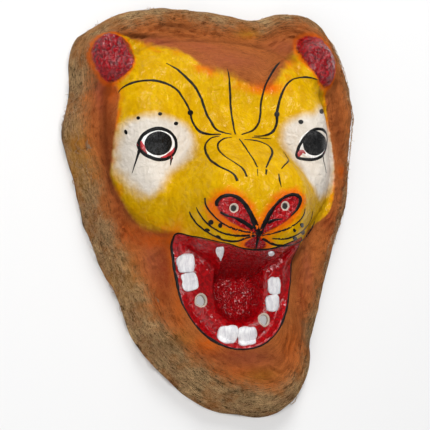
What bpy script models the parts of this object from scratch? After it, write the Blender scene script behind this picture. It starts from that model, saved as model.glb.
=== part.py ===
"""A moulded lion mask: one hollow fibre shell with drilled holes, and eight separate teeth on its gums.

The mask lies face up on its rim. X runs across the face, +Y from the chin to the crown and +Z out of the
face, with the rim's flat underside on Z = 0. Lengths in the tables and functions are in millimetres.
"""

import math

import bpy
import numpy as np
from mathutils import Vector
from mathutils.bvhtree import BVHTree

MM = 0.001

# Shell
WALL = 4.0  # thickness of the moulded wall
RIM_WALL = 7.0  # the flat underside of the rolled edge is wider
COLUMNS, ROWS = 42, 50  # cells of each side's grid
CORNER_ANGLES = (128, 238, 303, 52)  # crown left, chin left, chin right, crown right, in degrees
RIM_SHIFT = (-0.7, 1.4)  # from the drawing's origin to the middle of the rim's box

# Rim seen from the front: x, y
RIM = (
    (130, 0), (139, 38), (149, 84), (149, 112), (145, 145), (132, 176), (109, 197), (80, 199),
    (50, 191), (20, 196), (-20, 199), (-55, 199), (-90, 190), (-120, 172), (-137, 150), (-141, 115),
    (-151, 80), (-148, 52), (-141, 20), (-137, -5), (-130, -35), (-118, -65), (-108, -92), (-99, -118),
    (-83, -144), (-58, -168), (-25, -189), (20, -197), (50, -189), (66, -170), (75, -150), (77, -128),
    (90, -96), (103, -62), (118, -28),
)
ROLL = {"width": 10, "height": 15, "crest": 6, "crest_inside": 16, "crest_width": 10}  # the rounded edge
SLOPE = {"length": 45, "rise": 20}  # the border behind it
INNER_EDGE_SLOPE = 3  # how steeply the hollow rises from the rim
BALL_RINGS = ((0.5, 8), (0.8, 12), (0.96, 16))  # where the wall is measured: share of its thickness, directions

# Raised face: its middle, half sizes, squareness, height, and how wide its rounded edge is
FACE = {"x": -4, "y": 60, "half_width": 114, "half_height": 100, "power": 2.7, "height": 52}
FACE_EDGE = {"side": 26, "crown": 52, "from_y": 90, "to_y": 150, "roundness": 2.2}

# Soft swellings of the face: x, y, spread across, spread along, height
SWELLINGS = (
    (-80, 66, 34, 34, 13),  # brow and eye on the left
    (80, 66, 34, 34, 13),  # brow and eye on the right
    (-84, 12, 26, 26, 9),  # cheek on the left
    (84, 12, 26, 26, 9),  # cheek on the right
    (0, 118, 40, 22, 4),  # forehead
)
JAW = {"width": 20, "height": 8}  # the raised border round the mouth

# Muzzle, a row for each section from the chin to the crown: y, crest height, half width
MUZZLE = (
    (-120, 0, 20),
    (-90, 66, 20),
    (-70, 74, 32),
    (-58, 84, 44),
    (-46, 97, 56),
    (-32, 105, 63),
    (-12, 110, 67),
    (6, 107, 65),
    (22, 97, 57),
    (42, 77, 43),
    (62, 61, 31),
    (80, 55, 26),
    (100, 50, 22),
    (125, 0, 20),
)
MUZZLE_SIDE = (0.52, 1.22)  # where the crest ends and the side ends, in half widths
MUZZLE_CROWN = 4  # how much the crest falls towards its sides
MUZZLE_BLEND = 22  # length over which one section turns into the next
MUZZLE_FADE = 1.6  # how steeply a section's weight falls along that length

# Mouth outline: x, y
MOUTH = (
    (-64, -35), (-64, -55), (-62, -75), (-59, -94), (-51, -110), (-38, -125), (-20, -136), (-2, -139),
    (17, -135), (33, -122), (44, -102), (50, -82), (53, -60), (54, -43), (36, -50), (18, -56), (0, -58),
    (-18, -56), (-36, -50), (-52, -41),
)
MOUTH_MIDDLE = (-5, -88)
LIP_WALL = {"jaw": 9, "nose": 14, "from_y": -85, "to_y": -65}  # how far the wall behind the lips runs in
GUM = {"height": 29, "crest": 8, "crest_inside": 17, "crest_width": 10}
GUM_RISE = {"height": 16, "from_y": -108, "to_y": -56}  # towards the nose, where the crest fades out

# Trough between the gums: x, y
TROUGH = (
    (-23, -64), (-24, -82), (-21, -98), (-10, -109), (4, -109), (14, -102), (18, -88), (19, -72), (19, -52),
    (0, -44), (-22, -48),
)
TROUGH_MIDDLE = (-1, -78)
TROUGH_FLOOR = 21
TROUGH_WALL = 10

# Ears: x, y of the middle, half width, half height, rise
EARS = (
    (-106, 137, 25, 31, 18),
    (103, 138, 25, 31, 18),
)
EAR_SIDE = (0.45, 1.15)  # where an ear's top ends and its side ends, in half sizes

# Drilled holes: name, x, y, diameter
HOLES = (
    ("nostril_hole_left", -28, -23.5, 6),
    ("nostril_hole_right", 22, -21.5, 6),
    ("sight_hole_left", -40.5, -93.5, 10),
    ("sight_hole_right", 21, -112.5, 10),
)
HOLE_SIDES = 16
HOLE_SPAN = (-10, 150)  # the drill runs from below the rim to above the nose

# Teeth: name, x, y, width, length, turn in degrees, thickness
TEETH = (
    ("tooth_left_upper", -54, -60, 14, 16, 4, 2.2),
    ("tooth_left_lower", -51.5, -76.5, 13, 15, 10, 2.2),
    ("tooth_right_upper", 31.5, -81.5, 12, 16, 8, 2.2),
    ("tooth_right_lower", 30, -97, 14, 15, 0, 2.2),
    ("tooth_front_left", -16.5, -125, 18.5, 16, -4, 2.2),
    ("tooth_front_right", 2.5, -127, 18, 16, 6, 2.2),
    ("fang_left", -31.5, -57, 8, 12, 0, 1.8),
    ("fang_right", 14.5, -59.5, 7, 6, 0, 1.8),
)
TOOTH_GAP = 0.4  # between a tooth's underside and the gum that it sits on
TOOTH_ROOT = 1.5  # how far a tooth reaches down before it is cut to the gum
TOOTH_SIDES = 14
TOOTH_SQUARENESS = 3.4
TOOTH_RINGS = (0.4, 0.78, 1.0)  # as shares of the outline
TOOTH_DOME = (1.0, 0.9, 0.45)  # thickness at each ring, as shares of the middle's
REACH = 20  # how far above the gum a tooth's place is measured from


def smooth_step(t):
    """0 below 0, 1 above 1 and an S curve between them."""
    t = np.clip(t, 0, 1)
    return t * t * (3 - 2 * t)


def bump(distance, spread):
    return np.exp(-((distance / spread) ** 2))


def closed_curve(points, per_span=16):
    """A smooth closed curve through the points (Catmull-Rom), as dense points."""
    p = np.array(points, float)[:, None, :]
    before, after, beyond = np.roll(p, 1, 0), np.roll(p, -1, 0), np.roll(p, -2, 0)
    t = (np.arange(per_span) / per_span)[None, :, None]
    curve = 0.5 * (
        2 * p
        + (after - before) * t
        + (2 * before - 5 * p + 4 * after - beyond) * t**2
        + (3 * p - before - 3 * after + beyond) * t**3
    )
    return curve.reshape(-1, 2)


class Outline:
    """A closed curve seen from a point inside it: how far it reaches at each angle."""

    def __init__(self, points, middle=(0, 0)):
        curve = closed_curve(points) - np.array(middle, float)
        angle = np.arctan2(curve[:, 1], curve[:, 0])
        order = np.argsort(angle)
        self.middle = middle
        self.angle = angle[order]
        self.radius = np.hypot(curve[:, 0], curve[:, 1])[order]

    def reach(self, angle):
        return np.interp(angle, self.angle, self.radius, period=math.tau)

    def lean(self, angle):
        """How many times longer the way along the radius is than the way straight across the curve."""
        step = math.radians(3)
        change = self.reach(angle + step) - self.reach(angle - step)
        return np.hypot(1, change / (2 * step * self.reach(angle)))

    def depth(self, x, y):
        """About how far a point lies inside the curve; negative outside."""
        dx, dy = x - self.middle[0], y - self.middle[1]
        angle = np.arctan2(dy, dx)
        return (self.reach(angle) - np.hypot(dx, dy)) / self.lean(angle)

    def point(self, angle, inset=0):
        reach = self.reach(angle) - inset * self.lean(angle)
        return np.stack([reach * np.cos(angle), reach * np.sin(angle)], -1) + self.middle


rim = Outline(RIM)
mouth = Outline(MOUTH, MOUTH_MIDDLE)
trough = Outline(TROUGH, TROUGH_MIDDLE)


def border_height(depth):
    """The rolled edge, then the slope behind it."""
    roll = np.sqrt(1 - (1 - np.clip(depth / ROLL["width"], 0, 1)) ** 2)
    slope = 1 - np.exp(-np.clip(depth, 0, None) / SLOPE["length"])
    crest = bump(depth - ROLL["crest_inside"], ROLL["crest_width"]) * roll
    return ROLL["height"] * roll + ROLL["crest"] * crest + SLOPE["rise"] * slope


def muzzle_section(y, column):
    """A column of the muzzle's table at y, averaged over the blend between sections."""
    rows = np.array(MUZZLE, float)
    shares = np.linspace(-0.5, 0.5, 9)
    weights = 1 - np.abs(shares) * MUZZLE_FADE
    values = [
        weight * np.interp(y + share * MUZZLE_BLEND, rows[:, 0], rows[:, column])
        for share, weight in zip(shares, weights)
    ]
    return sum(values) / weights.sum()


def face_height(x, y, base):
    """The raised face on the border: its dome with the swellings, then the muzzle."""
    across = np.abs((x - FACE["x"]) / FACE["half_width"]) ** FACE["power"]
    along = np.abs((y - FACE["y"]) / FACE["half_height"]) ** FACE["power"]
    reach = (across + along) ** (1 / FACE["power"])
    crown = smooth_step((y - FACE_EDGE["from_y"]) / (FACE_EDGE["to_y"] - FACE_EDGE["from_y"]))
    edge = FACE_EDGE["side"] + (FACE_EDGE["crown"] - FACE_EDGE["side"]) * crown
    inside = np.clip((1 - reach) * FACE["half_height"] / edge, 0, 1)
    dome = 1 - (1 - inside) ** FACE_EDGE["roundness"]
    top = FACE["height"]
    for middle_x, middle_y, spread_x, spread_y, height in SWELLINGS:
        top = top + height * bump(x - middle_x, spread_x) * bump(y - middle_y, spread_y)
    height = base + dome * (top - base)
    side_from, side_to = MUZZLE_SIDE
    across = np.abs(x) / muzzle_section(y, 2)
    side = 1 - smooth_step((across - side_from) / (side_to - side_from))
    crest = muzzle_section(y, 1) - MUZZLE_CROWN * np.minimum(across, 1) ** 2
    return height + side * np.clip(crest - height, 0, None)


def ear_height(x, y):
    """Rounded lobes at the crown's corners."""
    total = 0
    side_from, side_to = EAR_SIDE
    for middle_x, middle_y, half_width, half_height, rise in EARS:
        reach = np.hypot((x - middle_x) / half_width, (y - middle_y) / half_height)
        total = total + rise * (1 - smooth_step((reach - side_from) / (side_to - side_from)))
    return total


def mouth_floor(x, y, lip_depth):
    """The gum with its crest, which fades as the gum rises to the nose, and the trough between the gums."""
    risen = smooth_step((y - GUM_RISE["from_y"]) / (GUM_RISE["to_y"] - GUM_RISE["from_y"]))
    crest = GUM["crest"] * (1 - risen) * bump(lip_depth - GUM["crest_inside"], GUM["crest_width"])
    gum = GUM["height"] + GUM_RISE["height"] * risen + crest
    in_trough = smooth_step(trough.depth(x, y) / TROUGH_WALL + 0.5)
    return gum + in_trough * (TROUGH_FLOOR - gum)


def outer_height(x, y):
    """Height of the painted side over the place x, y."""
    lip_depth = mouth.depth(x, y)
    base = border_height(rim.depth(x, y)) + JAW["height"] * bump(lip_depth, JAW["width"])
    outside = face_height(x, y, base) + ear_height(x, y)
    under_nose = smooth_step((y - LIP_WALL["from_y"]) / (LIP_WALL["to_y"] - LIP_WALL["from_y"]))
    wall = LIP_WALL["jaw"] + (LIP_WALL["nose"] - LIP_WALL["jaw"]) * under_nose
    into_mouth = smooth_step(lip_depth / wall)
    return outside + into_mouth * (mouth_floor(x, y, lip_depth) - outside)


def inner_height(x, y):
    """Height of the wearer's side: a ball as big as the wall, rolled under the outer side."""
    height = outer_height(x, y) - WALL
    for share, directions in BALL_RINGS:
        radius = share * WALL
        drop = math.sqrt(WALL**2 - radius**2)
        for angle in np.arange(directions) * math.tau / directions:
            touched = outer_height(x + radius * math.cos(angle), y + radius * math.sin(angle))
            height = np.minimum(height, touched - drop)
    edge = INNER_EDGE_SLOPE * (rim.depth(x, y) - RIM_WALL)
    return np.clip(np.minimum(height, edge), 0, None)


def flat_grid(inset):
    """Places inside the rim, spread evenly between four stretches of it (a Coons patch)."""
    crown_left, chin_left, chin_right, crown_right = (math.radians(angle) for angle in CORNER_ANGLES)
    u, v = np.linspace(0, 1, COLUMNS + 1), np.linspace(0, 1, ROWS + 1)
    crown = rim.point(crown_left + (crown_right - crown_left) * u, inset)
    chin = rim.point(chin_left + (chin_right - chin_left) * u, inset)
    left = rim.point(chin_left + (crown_left - chin_left) * v, inset)
    right = rim.point(chin_right + (crown_right + math.tau - chin_right) * v, inset)
    u, v = u[:, None, None], v[None, :, None]
    between_ends = (1 - v) * chin[:, None] + v * crown[:, None]
    between_sides = (1 - u) * left[None] + u * right[None]
    chin_corners = (1 - u) * chin[0] + u * chin[-1]
    crown_corners = (1 - u) * crown[0] + u * crown[-1]
    return between_ends + between_sides - (1 - v) * chin_corners - v * crown_corners


def even_out(flat, height, passes=6, calm=0.25):
    """Slides the places along their grid lines, until the formed surface's cells are about even."""
    for step in range(2 * passes):
        lines = flat if step % 2 else flat.transpose(1, 0, 2)
        formed = np.concatenate([lines, height(lines[..., 0], lines[..., 1])[..., None]], 2)
        run = np.linalg.norm(np.diff(formed, axis=1), axis=2)
        run = run + calm * run.mean(1, keepdims=True)
        travel = np.concatenate([np.zeros((len(lines), 1)), np.cumsum(run, 1)], 1)
        even = np.linspace(0, 1, lines.shape[1])
        moved = lines.copy()
        for k in range(1, len(lines) - 1):
            for axis in (0, 1):
                moved[k, :, axis] = np.interp(even, travel[k] / travel[k, -1], lines[k, :, axis])
        flat = moved if step % 2 else moved.transpose(1, 0, 2)
    return flat


def formed_grid(height, inset):
    """One side of the shell as a grid of points in metres, with its edge on the rim's plane."""
    flat = even_out(flat_grid(inset), height)
    z = height(flat[..., 0], flat[..., 1])
    z[0, :] = z[-1, :] = z[:, 0] = z[:, -1] = 0
    flat = flat - np.array(RIM_SHIFT)
    return np.concatenate([flat, z[..., None]], 2) * MM


def length(start, end):
    return np.linalg.norm(end - start, axis=1)


def off_form(height):
    """A measure of edges: how far their middles lie above or below the form."""

    def measure(start, end):
        middle = (start + end) / 2 / MM
        x, y = middle[:, 0] + RIM_SHIFT[0], middle[:, 1] + RIM_SHIFT[1]
        return np.abs(height(x, y) - middle[:, 2])

    return measure


def split_quads(quads, points, measure=length):
    """Two triangles for each quad, cut along the diagonal that measures less."""
    a, b, c, d = quads.T
    first = measure(points[a], points[c]) <= measure(points[b], points[d])
    one = np.where(first, (a, b, c), (a, b, d)).T
    two = np.where(first, (a, c, d), (b, c, d)).T
    return np.concatenate([one, two])


def make_mesh(name, points, faces):
    mesh = bpy.data.meshes.new(name)
    mesh.from_pydata(points.tolist(), [], faces.tolist())
    return mesh


def shell_mesh():
    """The two sides joined round the flat underside of the rim."""
    outer, inner = formed_grid(outer_height, 0), formed_grid(inner_height, RIM_WALL)
    index = np.arange(outer[..., 0].size).reshape(outer.shape[:2])
    front = np.stack([index[:-1, :-1], index[1:, :-1], index[1:, 1:], index[:-1, 1:]], -1)
    front = front.reshape(-1, 4)
    back = front[:, ::-1] + index.size
    loop = np.concatenate([index[:-1, 0], index[-1, :-1], index[:0:-1, -1], index[0, :0:-1]])
    ahead = np.roll(loop, -1)
    underside = np.stack([loop, loop + index.size, ahead + index.size, ahead], -1)
    points = np.concatenate([outer.reshape(-1, 3), inner.reshape(-1, 3)])
    front = split_quads(front, points, off_form(outer_height))
    back = split_quads(back, points, off_form(inner_height))
    return make_mesh("mask_shell", points, np.concatenate([front, back, split_quads(underside, points)]))


def tooth_mesh(name, seat, x, y, width, length, turn, thickness):
    """A domed pad with a rounded-square outline, which follows the gum that it sits on."""
    above = Vector((x - RIM_SHIFT[0], y - RIM_SHIFT[1], 1 / MM)) * MM
    middle, normal = seat.ray_cast(above, Vector((0, 0, -1)))[:2]
    turned = Vector((math.cos(math.radians(turn)), math.sin(math.radians(turn)), 0))
    along = normal.cross(turned).normalized()
    across = along.cross(normal)
    low, high = [], []
    for share, dome in ((0, 1), *zip(TOOTH_RINGS, TOOTH_DOME)):
        for side in range(TOOTH_SIDES if share else 1):
            c = math.cos(side * math.tau / TOOTH_SIDES)
            s = math.sin(side * math.tau / TOOTH_SIDES)
            squared = abs(c) ** TOOTH_SQUARENESS + abs(s) ** TOOTH_SQUARENESS
            reach = share / 2 * squared ** (-1 / TOOTH_SQUARENESS)
            away = across * (reach * c * width) + along * (reach * s * length)
            place = middle + (away + normal * REACH) * MM
            touched = seat.ray_cast(place, -normal)[0]
            low.append(touched - normal * TOOTH_ROOT * MM)
            high.append(touched + normal * thickness * dome * MM)
    points = np.array(low + high)
    return make_mesh(name, points, tooth_faces(points))


def tooth_faces(points):
    """Triangles of the underside and the top, each a fan with rings round it, and of the edge between."""
    side = np.arange(TOOTH_SIDES)
    ahead = (side + 1) % TOOTH_SIDES
    under_count = len(points) // 2
    fan = np.stack([np.zeros_like(side), 1 + side, 1 + ahead], -1)
    starts = 1 + TOOTH_SIDES * np.arange(len(TOOTH_RINGS))
    rings = [
        np.stack([near + side, far + side, far + ahead, near + ahead], -1)
        for near, far in zip(starts[:-1], starts[1:])
    ]
    top = np.concatenate([fan + under_count, split_quads(np.concatenate(rings) + under_count, points)])
    under = top[:, ::-1] - under_count
    low, high = starts[-1], starts[-1] + under_count
    edge = np.stack([low + side, low + ahead, high + ahead, high + side], -1)
    return np.concatenate([top, under, split_quads(edge, points)])


def finish(name, colour, roughness):
    """A Principled material with one plain colour."""
    material = bpy.data.materials.new(name)
    material.use_nodes = True
    shader = material.node_tree.nodes["Principled BSDF"]
    shader.inputs["Base Color"].default_value = (*colour, 1)
    shader.inputs["Roughness"].default_value = roughness
    shader.inputs["Metallic"].default_value = 0
    return material


def add_object(name, mesh):
    obj = bpy.data.objects.new(name, mesh)
    bpy.context.scene.collection.objects.link(obj)
    return obj


def add_piece(name, mesh, material):
    mesh.materials.append(material)
    mesh.shade_smooth()
    return add_object(name, mesh)


def add_cutter(name, mesh):
    cutter = add_object(name, mesh)
    cutter.hide_render = True
    cutter.display_type = "WIRE"
    return cutter


def cut_away(obj, cutter):
    cut = obj.modifiers.new(cutter.name, "BOOLEAN")
    cut.operation = "DIFFERENCE"
    cut.solver = "EXACT"
    cut.object = cutter


def hole_cutter(name, x, y, diameter):
    """A prism along Z, for a hole straight through the wall."""
    side = np.arange(HOLE_SIDES)
    ahead = (side + 1) % HOLE_SIDES
    angle = side * math.tau / HOLE_SIDES
    ring = np.stack([x + diameter / 2 * np.cos(angle), y + diameter / 2 * np.sin(angle)], -1)
    ring = ring - np.array(RIM_SHIFT)
    ends = [np.concatenate([ring, np.full((HOLE_SIDES, 1), z)], 1) for z in HOLE_SPAN]
    walls = np.stack([side, ahead, ahead + HOLE_SIDES, side + HOLE_SIDES], -1)
    faces = [side[::-1].tolist(), (side + HOLE_SIDES).tolist(), *walls.tolist()]
    mesh = bpy.data.meshes.new(name)
    mesh.from_pydata((np.concatenate(ends) * MM).tolist(), [], faces)
    return add_cutter(name, mesh)


def gum_cutter(shell):
    """The shell swollen by the teeth's gap."""
    cutter = add_cutter("gum_clearance", shell.data)
    swell = cutter.modifiers.new("swell", "DISPLACE")
    swell.strength = TOOTH_GAP * MM
    swell.mid_level = 0
    return cutter


def build():
    for obj in list(bpy.data.objects):
        bpy.data.objects.remove(obj)
    shell = add_piece("mask_shell", shell_mesh(), finish("painted_fibre", (0.72, 0.42, 0.06), 0.5))
    corners = [vertex.co for vertex in shell.data.vertices]
    seat = BVHTree.FromPolygons(corners, [face.vertices for face in shell.data.polygons])
    clearance = gum_cutter(shell)
    for name, *place in TEETH:
        paint = finish(name + "_paint", (0.86, 0.83, 0.78), 0.45)
        cut_away(add_piece(name, tooth_mesh(name, seat, *place), paint), clearance)
    for hole in HOLES:
        cut_away(shell, hole_cutter(*hole))


build()
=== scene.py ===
import math

import bpy
import numpy as np
from mathutils import Matrix, Vector


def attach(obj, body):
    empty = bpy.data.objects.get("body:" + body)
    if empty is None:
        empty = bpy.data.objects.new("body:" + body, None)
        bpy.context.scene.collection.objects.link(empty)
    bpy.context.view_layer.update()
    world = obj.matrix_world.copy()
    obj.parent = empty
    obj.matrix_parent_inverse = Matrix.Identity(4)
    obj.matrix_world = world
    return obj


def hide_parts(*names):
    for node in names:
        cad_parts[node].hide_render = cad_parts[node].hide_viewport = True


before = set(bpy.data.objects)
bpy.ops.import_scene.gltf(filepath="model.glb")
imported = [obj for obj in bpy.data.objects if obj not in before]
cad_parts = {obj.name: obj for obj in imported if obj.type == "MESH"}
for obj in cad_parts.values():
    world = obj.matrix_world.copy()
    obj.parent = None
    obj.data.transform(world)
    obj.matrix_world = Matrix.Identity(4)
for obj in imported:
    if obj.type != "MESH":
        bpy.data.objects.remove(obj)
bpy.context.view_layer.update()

# A moulded lion mask, face up on its rim. Lengths are in mm over a drawing of the face: x across it, y to
# the crown, z out of the face. Objects are made in metres, and the drawing is moved to the frame's middle.
drawing = {"mm": 0.001, "shift": (-0.7, 1.4)}


# Form

form = {
    "rim": (
        (130, 0), (139, 38), (149, 84), (149, 112), (145, 145), (132, 176), (109, 197), (80, 199),
        (50, 191), (20, 196), (-20, 199), (-55, 199), (-90, 190), (-120, 172), (-137, 150), (-141, 115),
        (-151, 80), (-148, 52), (-141, 20), (-137, -5), (-130, -35), (-118, -65), (-108, -92), (-99, -118),
        (-83, -144), (-58, -168), (-25, -189), (20, -197), (50, -189), (66, -170), (75, -150), (77, -128),
        (90, -96), (103, -62), (118, -28),
    ),
    "roll": {"width": 10, "height": 15, "crest": 6, "crestInside": 16, "crestWidth": 10},
    "slope": {"length": 45, "rise": 20},
    "face": {"x": -4, "y": 60, "halfWidth": 114, "halfHeight": 100, "power": 2.7, "height": 52},
    "faceEdge": {"side": 26, "crown": 52, "fromY": 90, "toY": 150, "roundness": 2.2},
    # middle x, y, spread across, spread along, height
    "swellings": (
        (-80, 66, 34, 34, 13), (80, 66, 34, 34, 13), (-84, 12, 26, 26, 9), (84, 12, 26, 26, 9),
        (0, 118, 40, 22, 4),
    ),
    "jaw": {"width": 20, "height": 8},
    # y, crest height, half width
    "muzzle": (
        (-120, 0, 20), (-90, 66, 20), (-70, 74, 32), (-58, 84, 44), (-46, 97, 56), (-32, 105, 63),
        (-12, 110, 67), (6, 107, 65), (22, 97, 57), (42, 77, 43), (62, 61, 31), (80, 55, 26),
        (100, 50, 22), (125, 0, 20),
    ),
    "muzzleSide": (0.52, 1.22),
    "muzzleCrown": 4,
    "muzzleRight": 1.06,  # how many times wider its right side is
    "muzzleBlend": 22,
    "mouth": (
        (-64, -35), (-64, -55), (-62, -75), (-59, -94), (-51, -110), (-38, -125), (-20, -136), (-2, -139),
        (17, -135), (33, -122), (44, -102), (50, -82), (53, -60), (54, -43), (36, -50), (18, -56), (0, -58),
        (-18, -56), (-36, -50), (-52, -41),
    ),
    "mouthMiddle": (-5, -88),
    "lipWall": {"jaw": 9, "nose": 14, "fromY": -85, "toY": -65},
    "gum": {
        "height": 29, "crest": 8, "crestInside": 17, "crestWidth": 10,
        "rise": 16, "fromY": -108, "toY": -56,
    },
    "trough": (
        (-23, -64), (-24, -82), (-21, -98), (-10, -109), (4, -109), (14, -102), (18, -88), (19, -72),
        (19, -52), (0, -44), (-22, -48),
    ),
    "troughMiddle": (-1, -78),
    "troughFloor": 21,
    "troughWall": 10,
    # middle x, y, half width, half height, rise
    "ears": ((-106, 137, 25, 31, 18), (103, 138, 25, 31, 18)),
    "earSide": (0.45, 1.15),
    # x, y, radius
    "holes": {
        "nostril_left": (-28, -23.5, 3.0), "nostril_right": (22, -21.5, 3.0),
        "sight_left": (-40.5, -93.5, 5.0), "sight_right": (21, -112.5, 5.0),
    },
}


def smoothStep(t):
    # 0 below 0, 1 above 1, and 3t² - 2t³ between them
    t = np.clip(t, 0, 1)
    return t * t * (3 - 2 * t)


def turns(count):
    # angles spread evenly round a circle
    return np.arange(count) * math.tau / count


def turnedPlaces(x, y, across, along, degrees):
    # across and along turned by an angle, with their middle at x, y
    c, s = math.cos(math.radians(degrees)), math.sin(math.radians(degrees))
    return np.stack([x + across * c - along * s, y + across * s + along * c], -1)


def bump(distance, spread):
    # a bell: e to the power of -(distance / spread)²
    return np.exp(-((distance / spread) ** 2))


def smoothCurve(points, perSpan, closed):
    # Catmull-Rom: cubics through the points, each point's way parallel to the line between its neighbours
    p = np.array(points, float)
    if not closed:
        p = np.concatenate([2 * p[:1] - p[1:2], p, 2 * p[-1:] - p[-2:-1]])
    before, after, beyond = np.roll(p, 1, 0), np.roll(p, -1, 0), np.roll(p, -2, 0)
    p, before, after, beyond = (row[:, None, :] for row in (p, before, after, beyond))
    t = (np.arange(perSpan) / perSpan)[None, :, None]
    curve = 0.5 * (
        2 * p
        + (after - before) * t
        + (2 * before - 5 * p + 4 * after - beyond) * t**2
        + (3 * p - before - 3 * after + beyond) * t**3
    )
    if closed:
        return curve.reshape(-1, curve.shape[2])
    return np.concatenate([curve[1:-2].reshape(-1, curve.shape[2]), p[-2]])


class Outline:
    # a closed curve seen from a point inside it, as the distance to it at each angle

    def __init__(self, points, middle=(0, 0)):
        curve = smoothCurve(points, 16, True) - np.array(middle, float)
        angle = np.arctan2(curve[:, 1], curve[:, 0])
        order = np.argsort(angle)
        self.middle = middle
        self.angle = angle[order]
        self.radius = np.hypot(curve[:, 0], curve[:, 1])[order]

    def reach(self, angle):
        return np.interp(angle, self.angle, self.radius, period=math.tau)

    def lean(self, angle):
        # how many times longer the way along the radius is than the way straight across the curve
        step = math.radians(3)
        change = self.reach(angle + step) - self.reach(angle - step)
        return np.hypot(1, change / (2 * step * self.reach(angle)))

    def angleOf(self, x, y):
        return np.arctan2(y - self.middle[1], x - self.middle[0])

    def depth(self, x, y):
        # about how far a place lies inside the curve; negative outside
        angle = self.angleOf(x, y)
        away = np.hypot(x - self.middle[0], y - self.middle[1])
        return (self.reach(angle) - away) / self.lean(angle)

    def point(self, angle, inset=0):
        reach = self.reach(angle) - inset * self.lean(angle)
        return np.stack([reach * np.cos(angle), reach * np.sin(angle)], -1) + self.middle


rim = Outline(form["rim"])
mouth = Outline(form["mouth"], form["mouthMiddle"])
trough = Outline(form["trough"], form["troughMiddle"])


def borderHeight(depth):
    # a quarter circle up from the rim, a bell behind it, and a slope that eases off towards the face
    roll = np.sqrt(1 - (1 - np.clip(depth / form["roll"]["width"], 0, 1)) ** 2)
    slope = 1 - np.exp(-np.clip(depth, 0, None) / form["slope"]["length"])
    crest = bump(depth - form["roll"]["crestInside"], form["roll"]["crestWidth"]) * roll
    return form["roll"]["height"] * roll + form["roll"]["crest"] * crest + form["slope"]["rise"] * slope


def muzzleSection(y, column):
    # a column of the muzzle's table at y, averaged over the blend between sections
    rows = np.array(form["muzzle"], float)
    shares = np.linspace(-0.5, 0.5, 9)
    weights = 1 - np.abs(shares) * 1.6
    values = [
        weight * np.interp(y + share * form["muzzleBlend"], rows[:, 0], rows[:, column])
        for share, weight in zip(shares, weights)
    ]
    return sum(values) / weights.sum()


def faceReach(x, y):
    # a rounded rectangle's share: 0 in the middle of the face, 1 at its foot
    face = form["face"]
    across = np.abs((x - face["x"]) / face["halfWidth"]) ** face["power"]
    along = np.abs((y - face["y"]) / face["halfHeight"]) ** face["power"]
    return (across + along) ** (1 / face["power"])


def faceHeight(x, y, base):
    # the border lifted to a dome with soft swellings, and the muzzle's sections blended into it
    edge = form["faceEdge"]
    crown = smoothStep((y - edge["fromY"]) / (edge["toY"] - edge["fromY"]))
    width = edge["side"] + (edge["crown"] - edge["side"]) * crown
    inside = np.clip((1 - faceReach(x, y)) * form["face"]["halfHeight"] / width, 0, 1)
    dome = 1 - (1 - inside) ** edge["roundness"]
    top = form["face"]["height"]
    for middleX, middleY, spreadX, spreadY, height in form["swellings"]:
        top = top + height * bump(x - middleX, spreadX) * bump(y - middleY, spreadY)
    height = base + dome * (top - base)
    sideFrom, sideTo = form["muzzleSide"]
    across = np.abs(x) / muzzleSection(y, 2) / np.where(x > 0, form["muzzleRight"], 1)
    side = 1 - smoothStep((across - sideFrom) / (sideTo - sideFrom))
    crest = muzzleSection(y, 1) - form["muzzleCrown"] * np.minimum(across, 1) ** 2
    return height + side * np.clip(crest - height, 0, None)


def earHeight(x, y):
    # rounded lobes: 1 in an ear's middle, eased to 0 at its side
    total = 0
    sideFrom, sideTo = form["earSide"]
    for middleX, middleY, halfWidth, halfHeight, rise in form["ears"]:
        reach = np.hypot((x - middleX) / halfWidth, (y - middleY) / halfHeight)
        total = total + rise * (1 - smoothStep((reach - sideFrom) / (sideTo - sideFrom)))
    return total


def mouthFloor(x, y, lipDepth):
    # the gum with its crest, which rises towards the nose, eased down to the trough's floor
    size = form["gum"]
    risen = smoothStep((y - size["fromY"]) / (size["toY"] - size["fromY"]))
    crest = size["crest"] * (1 - risen) * bump(lipDepth - size["crestInside"], size["crestWidth"])
    gum = size["height"] + size["rise"] * risen + crest
    inTrough = smoothStep(trough.depth(x, y) / form["troughWall"] + 0.5)
    return gum + inTrough * (form["troughFloor"] - gum)


def intoMouth(y, lipDepth):
    # 0 outside the lips and 1 past the wall behind them, which is wider under the nose
    wall = form["lipWall"]
    under = smoothStep((y - wall["fromY"]) / (wall["toY"] - wall["fromY"]))
    return smoothStep(lipDepth / (wall["jaw"] + (wall["nose"] - wall["jaw"]) * under))


def formHeight(x, y):
    # the smooth form: border, face and ears outside the lips, gums and trough inside them
    lipDepth = mouth.depth(x, y)
    base = borderHeight(rim.depth(x, y)) + form["jaw"]["height"] * bump(lipDepth, form["jaw"]["width"])
    outside = faceHeight(x, y, base) + earHeight(x, y)
    return outside + intoMouth(y, lipDepth) * (mouthFloor(x, y, lipDepth) - outside)


# Relief that the hands and the fibre leave on the form

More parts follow.
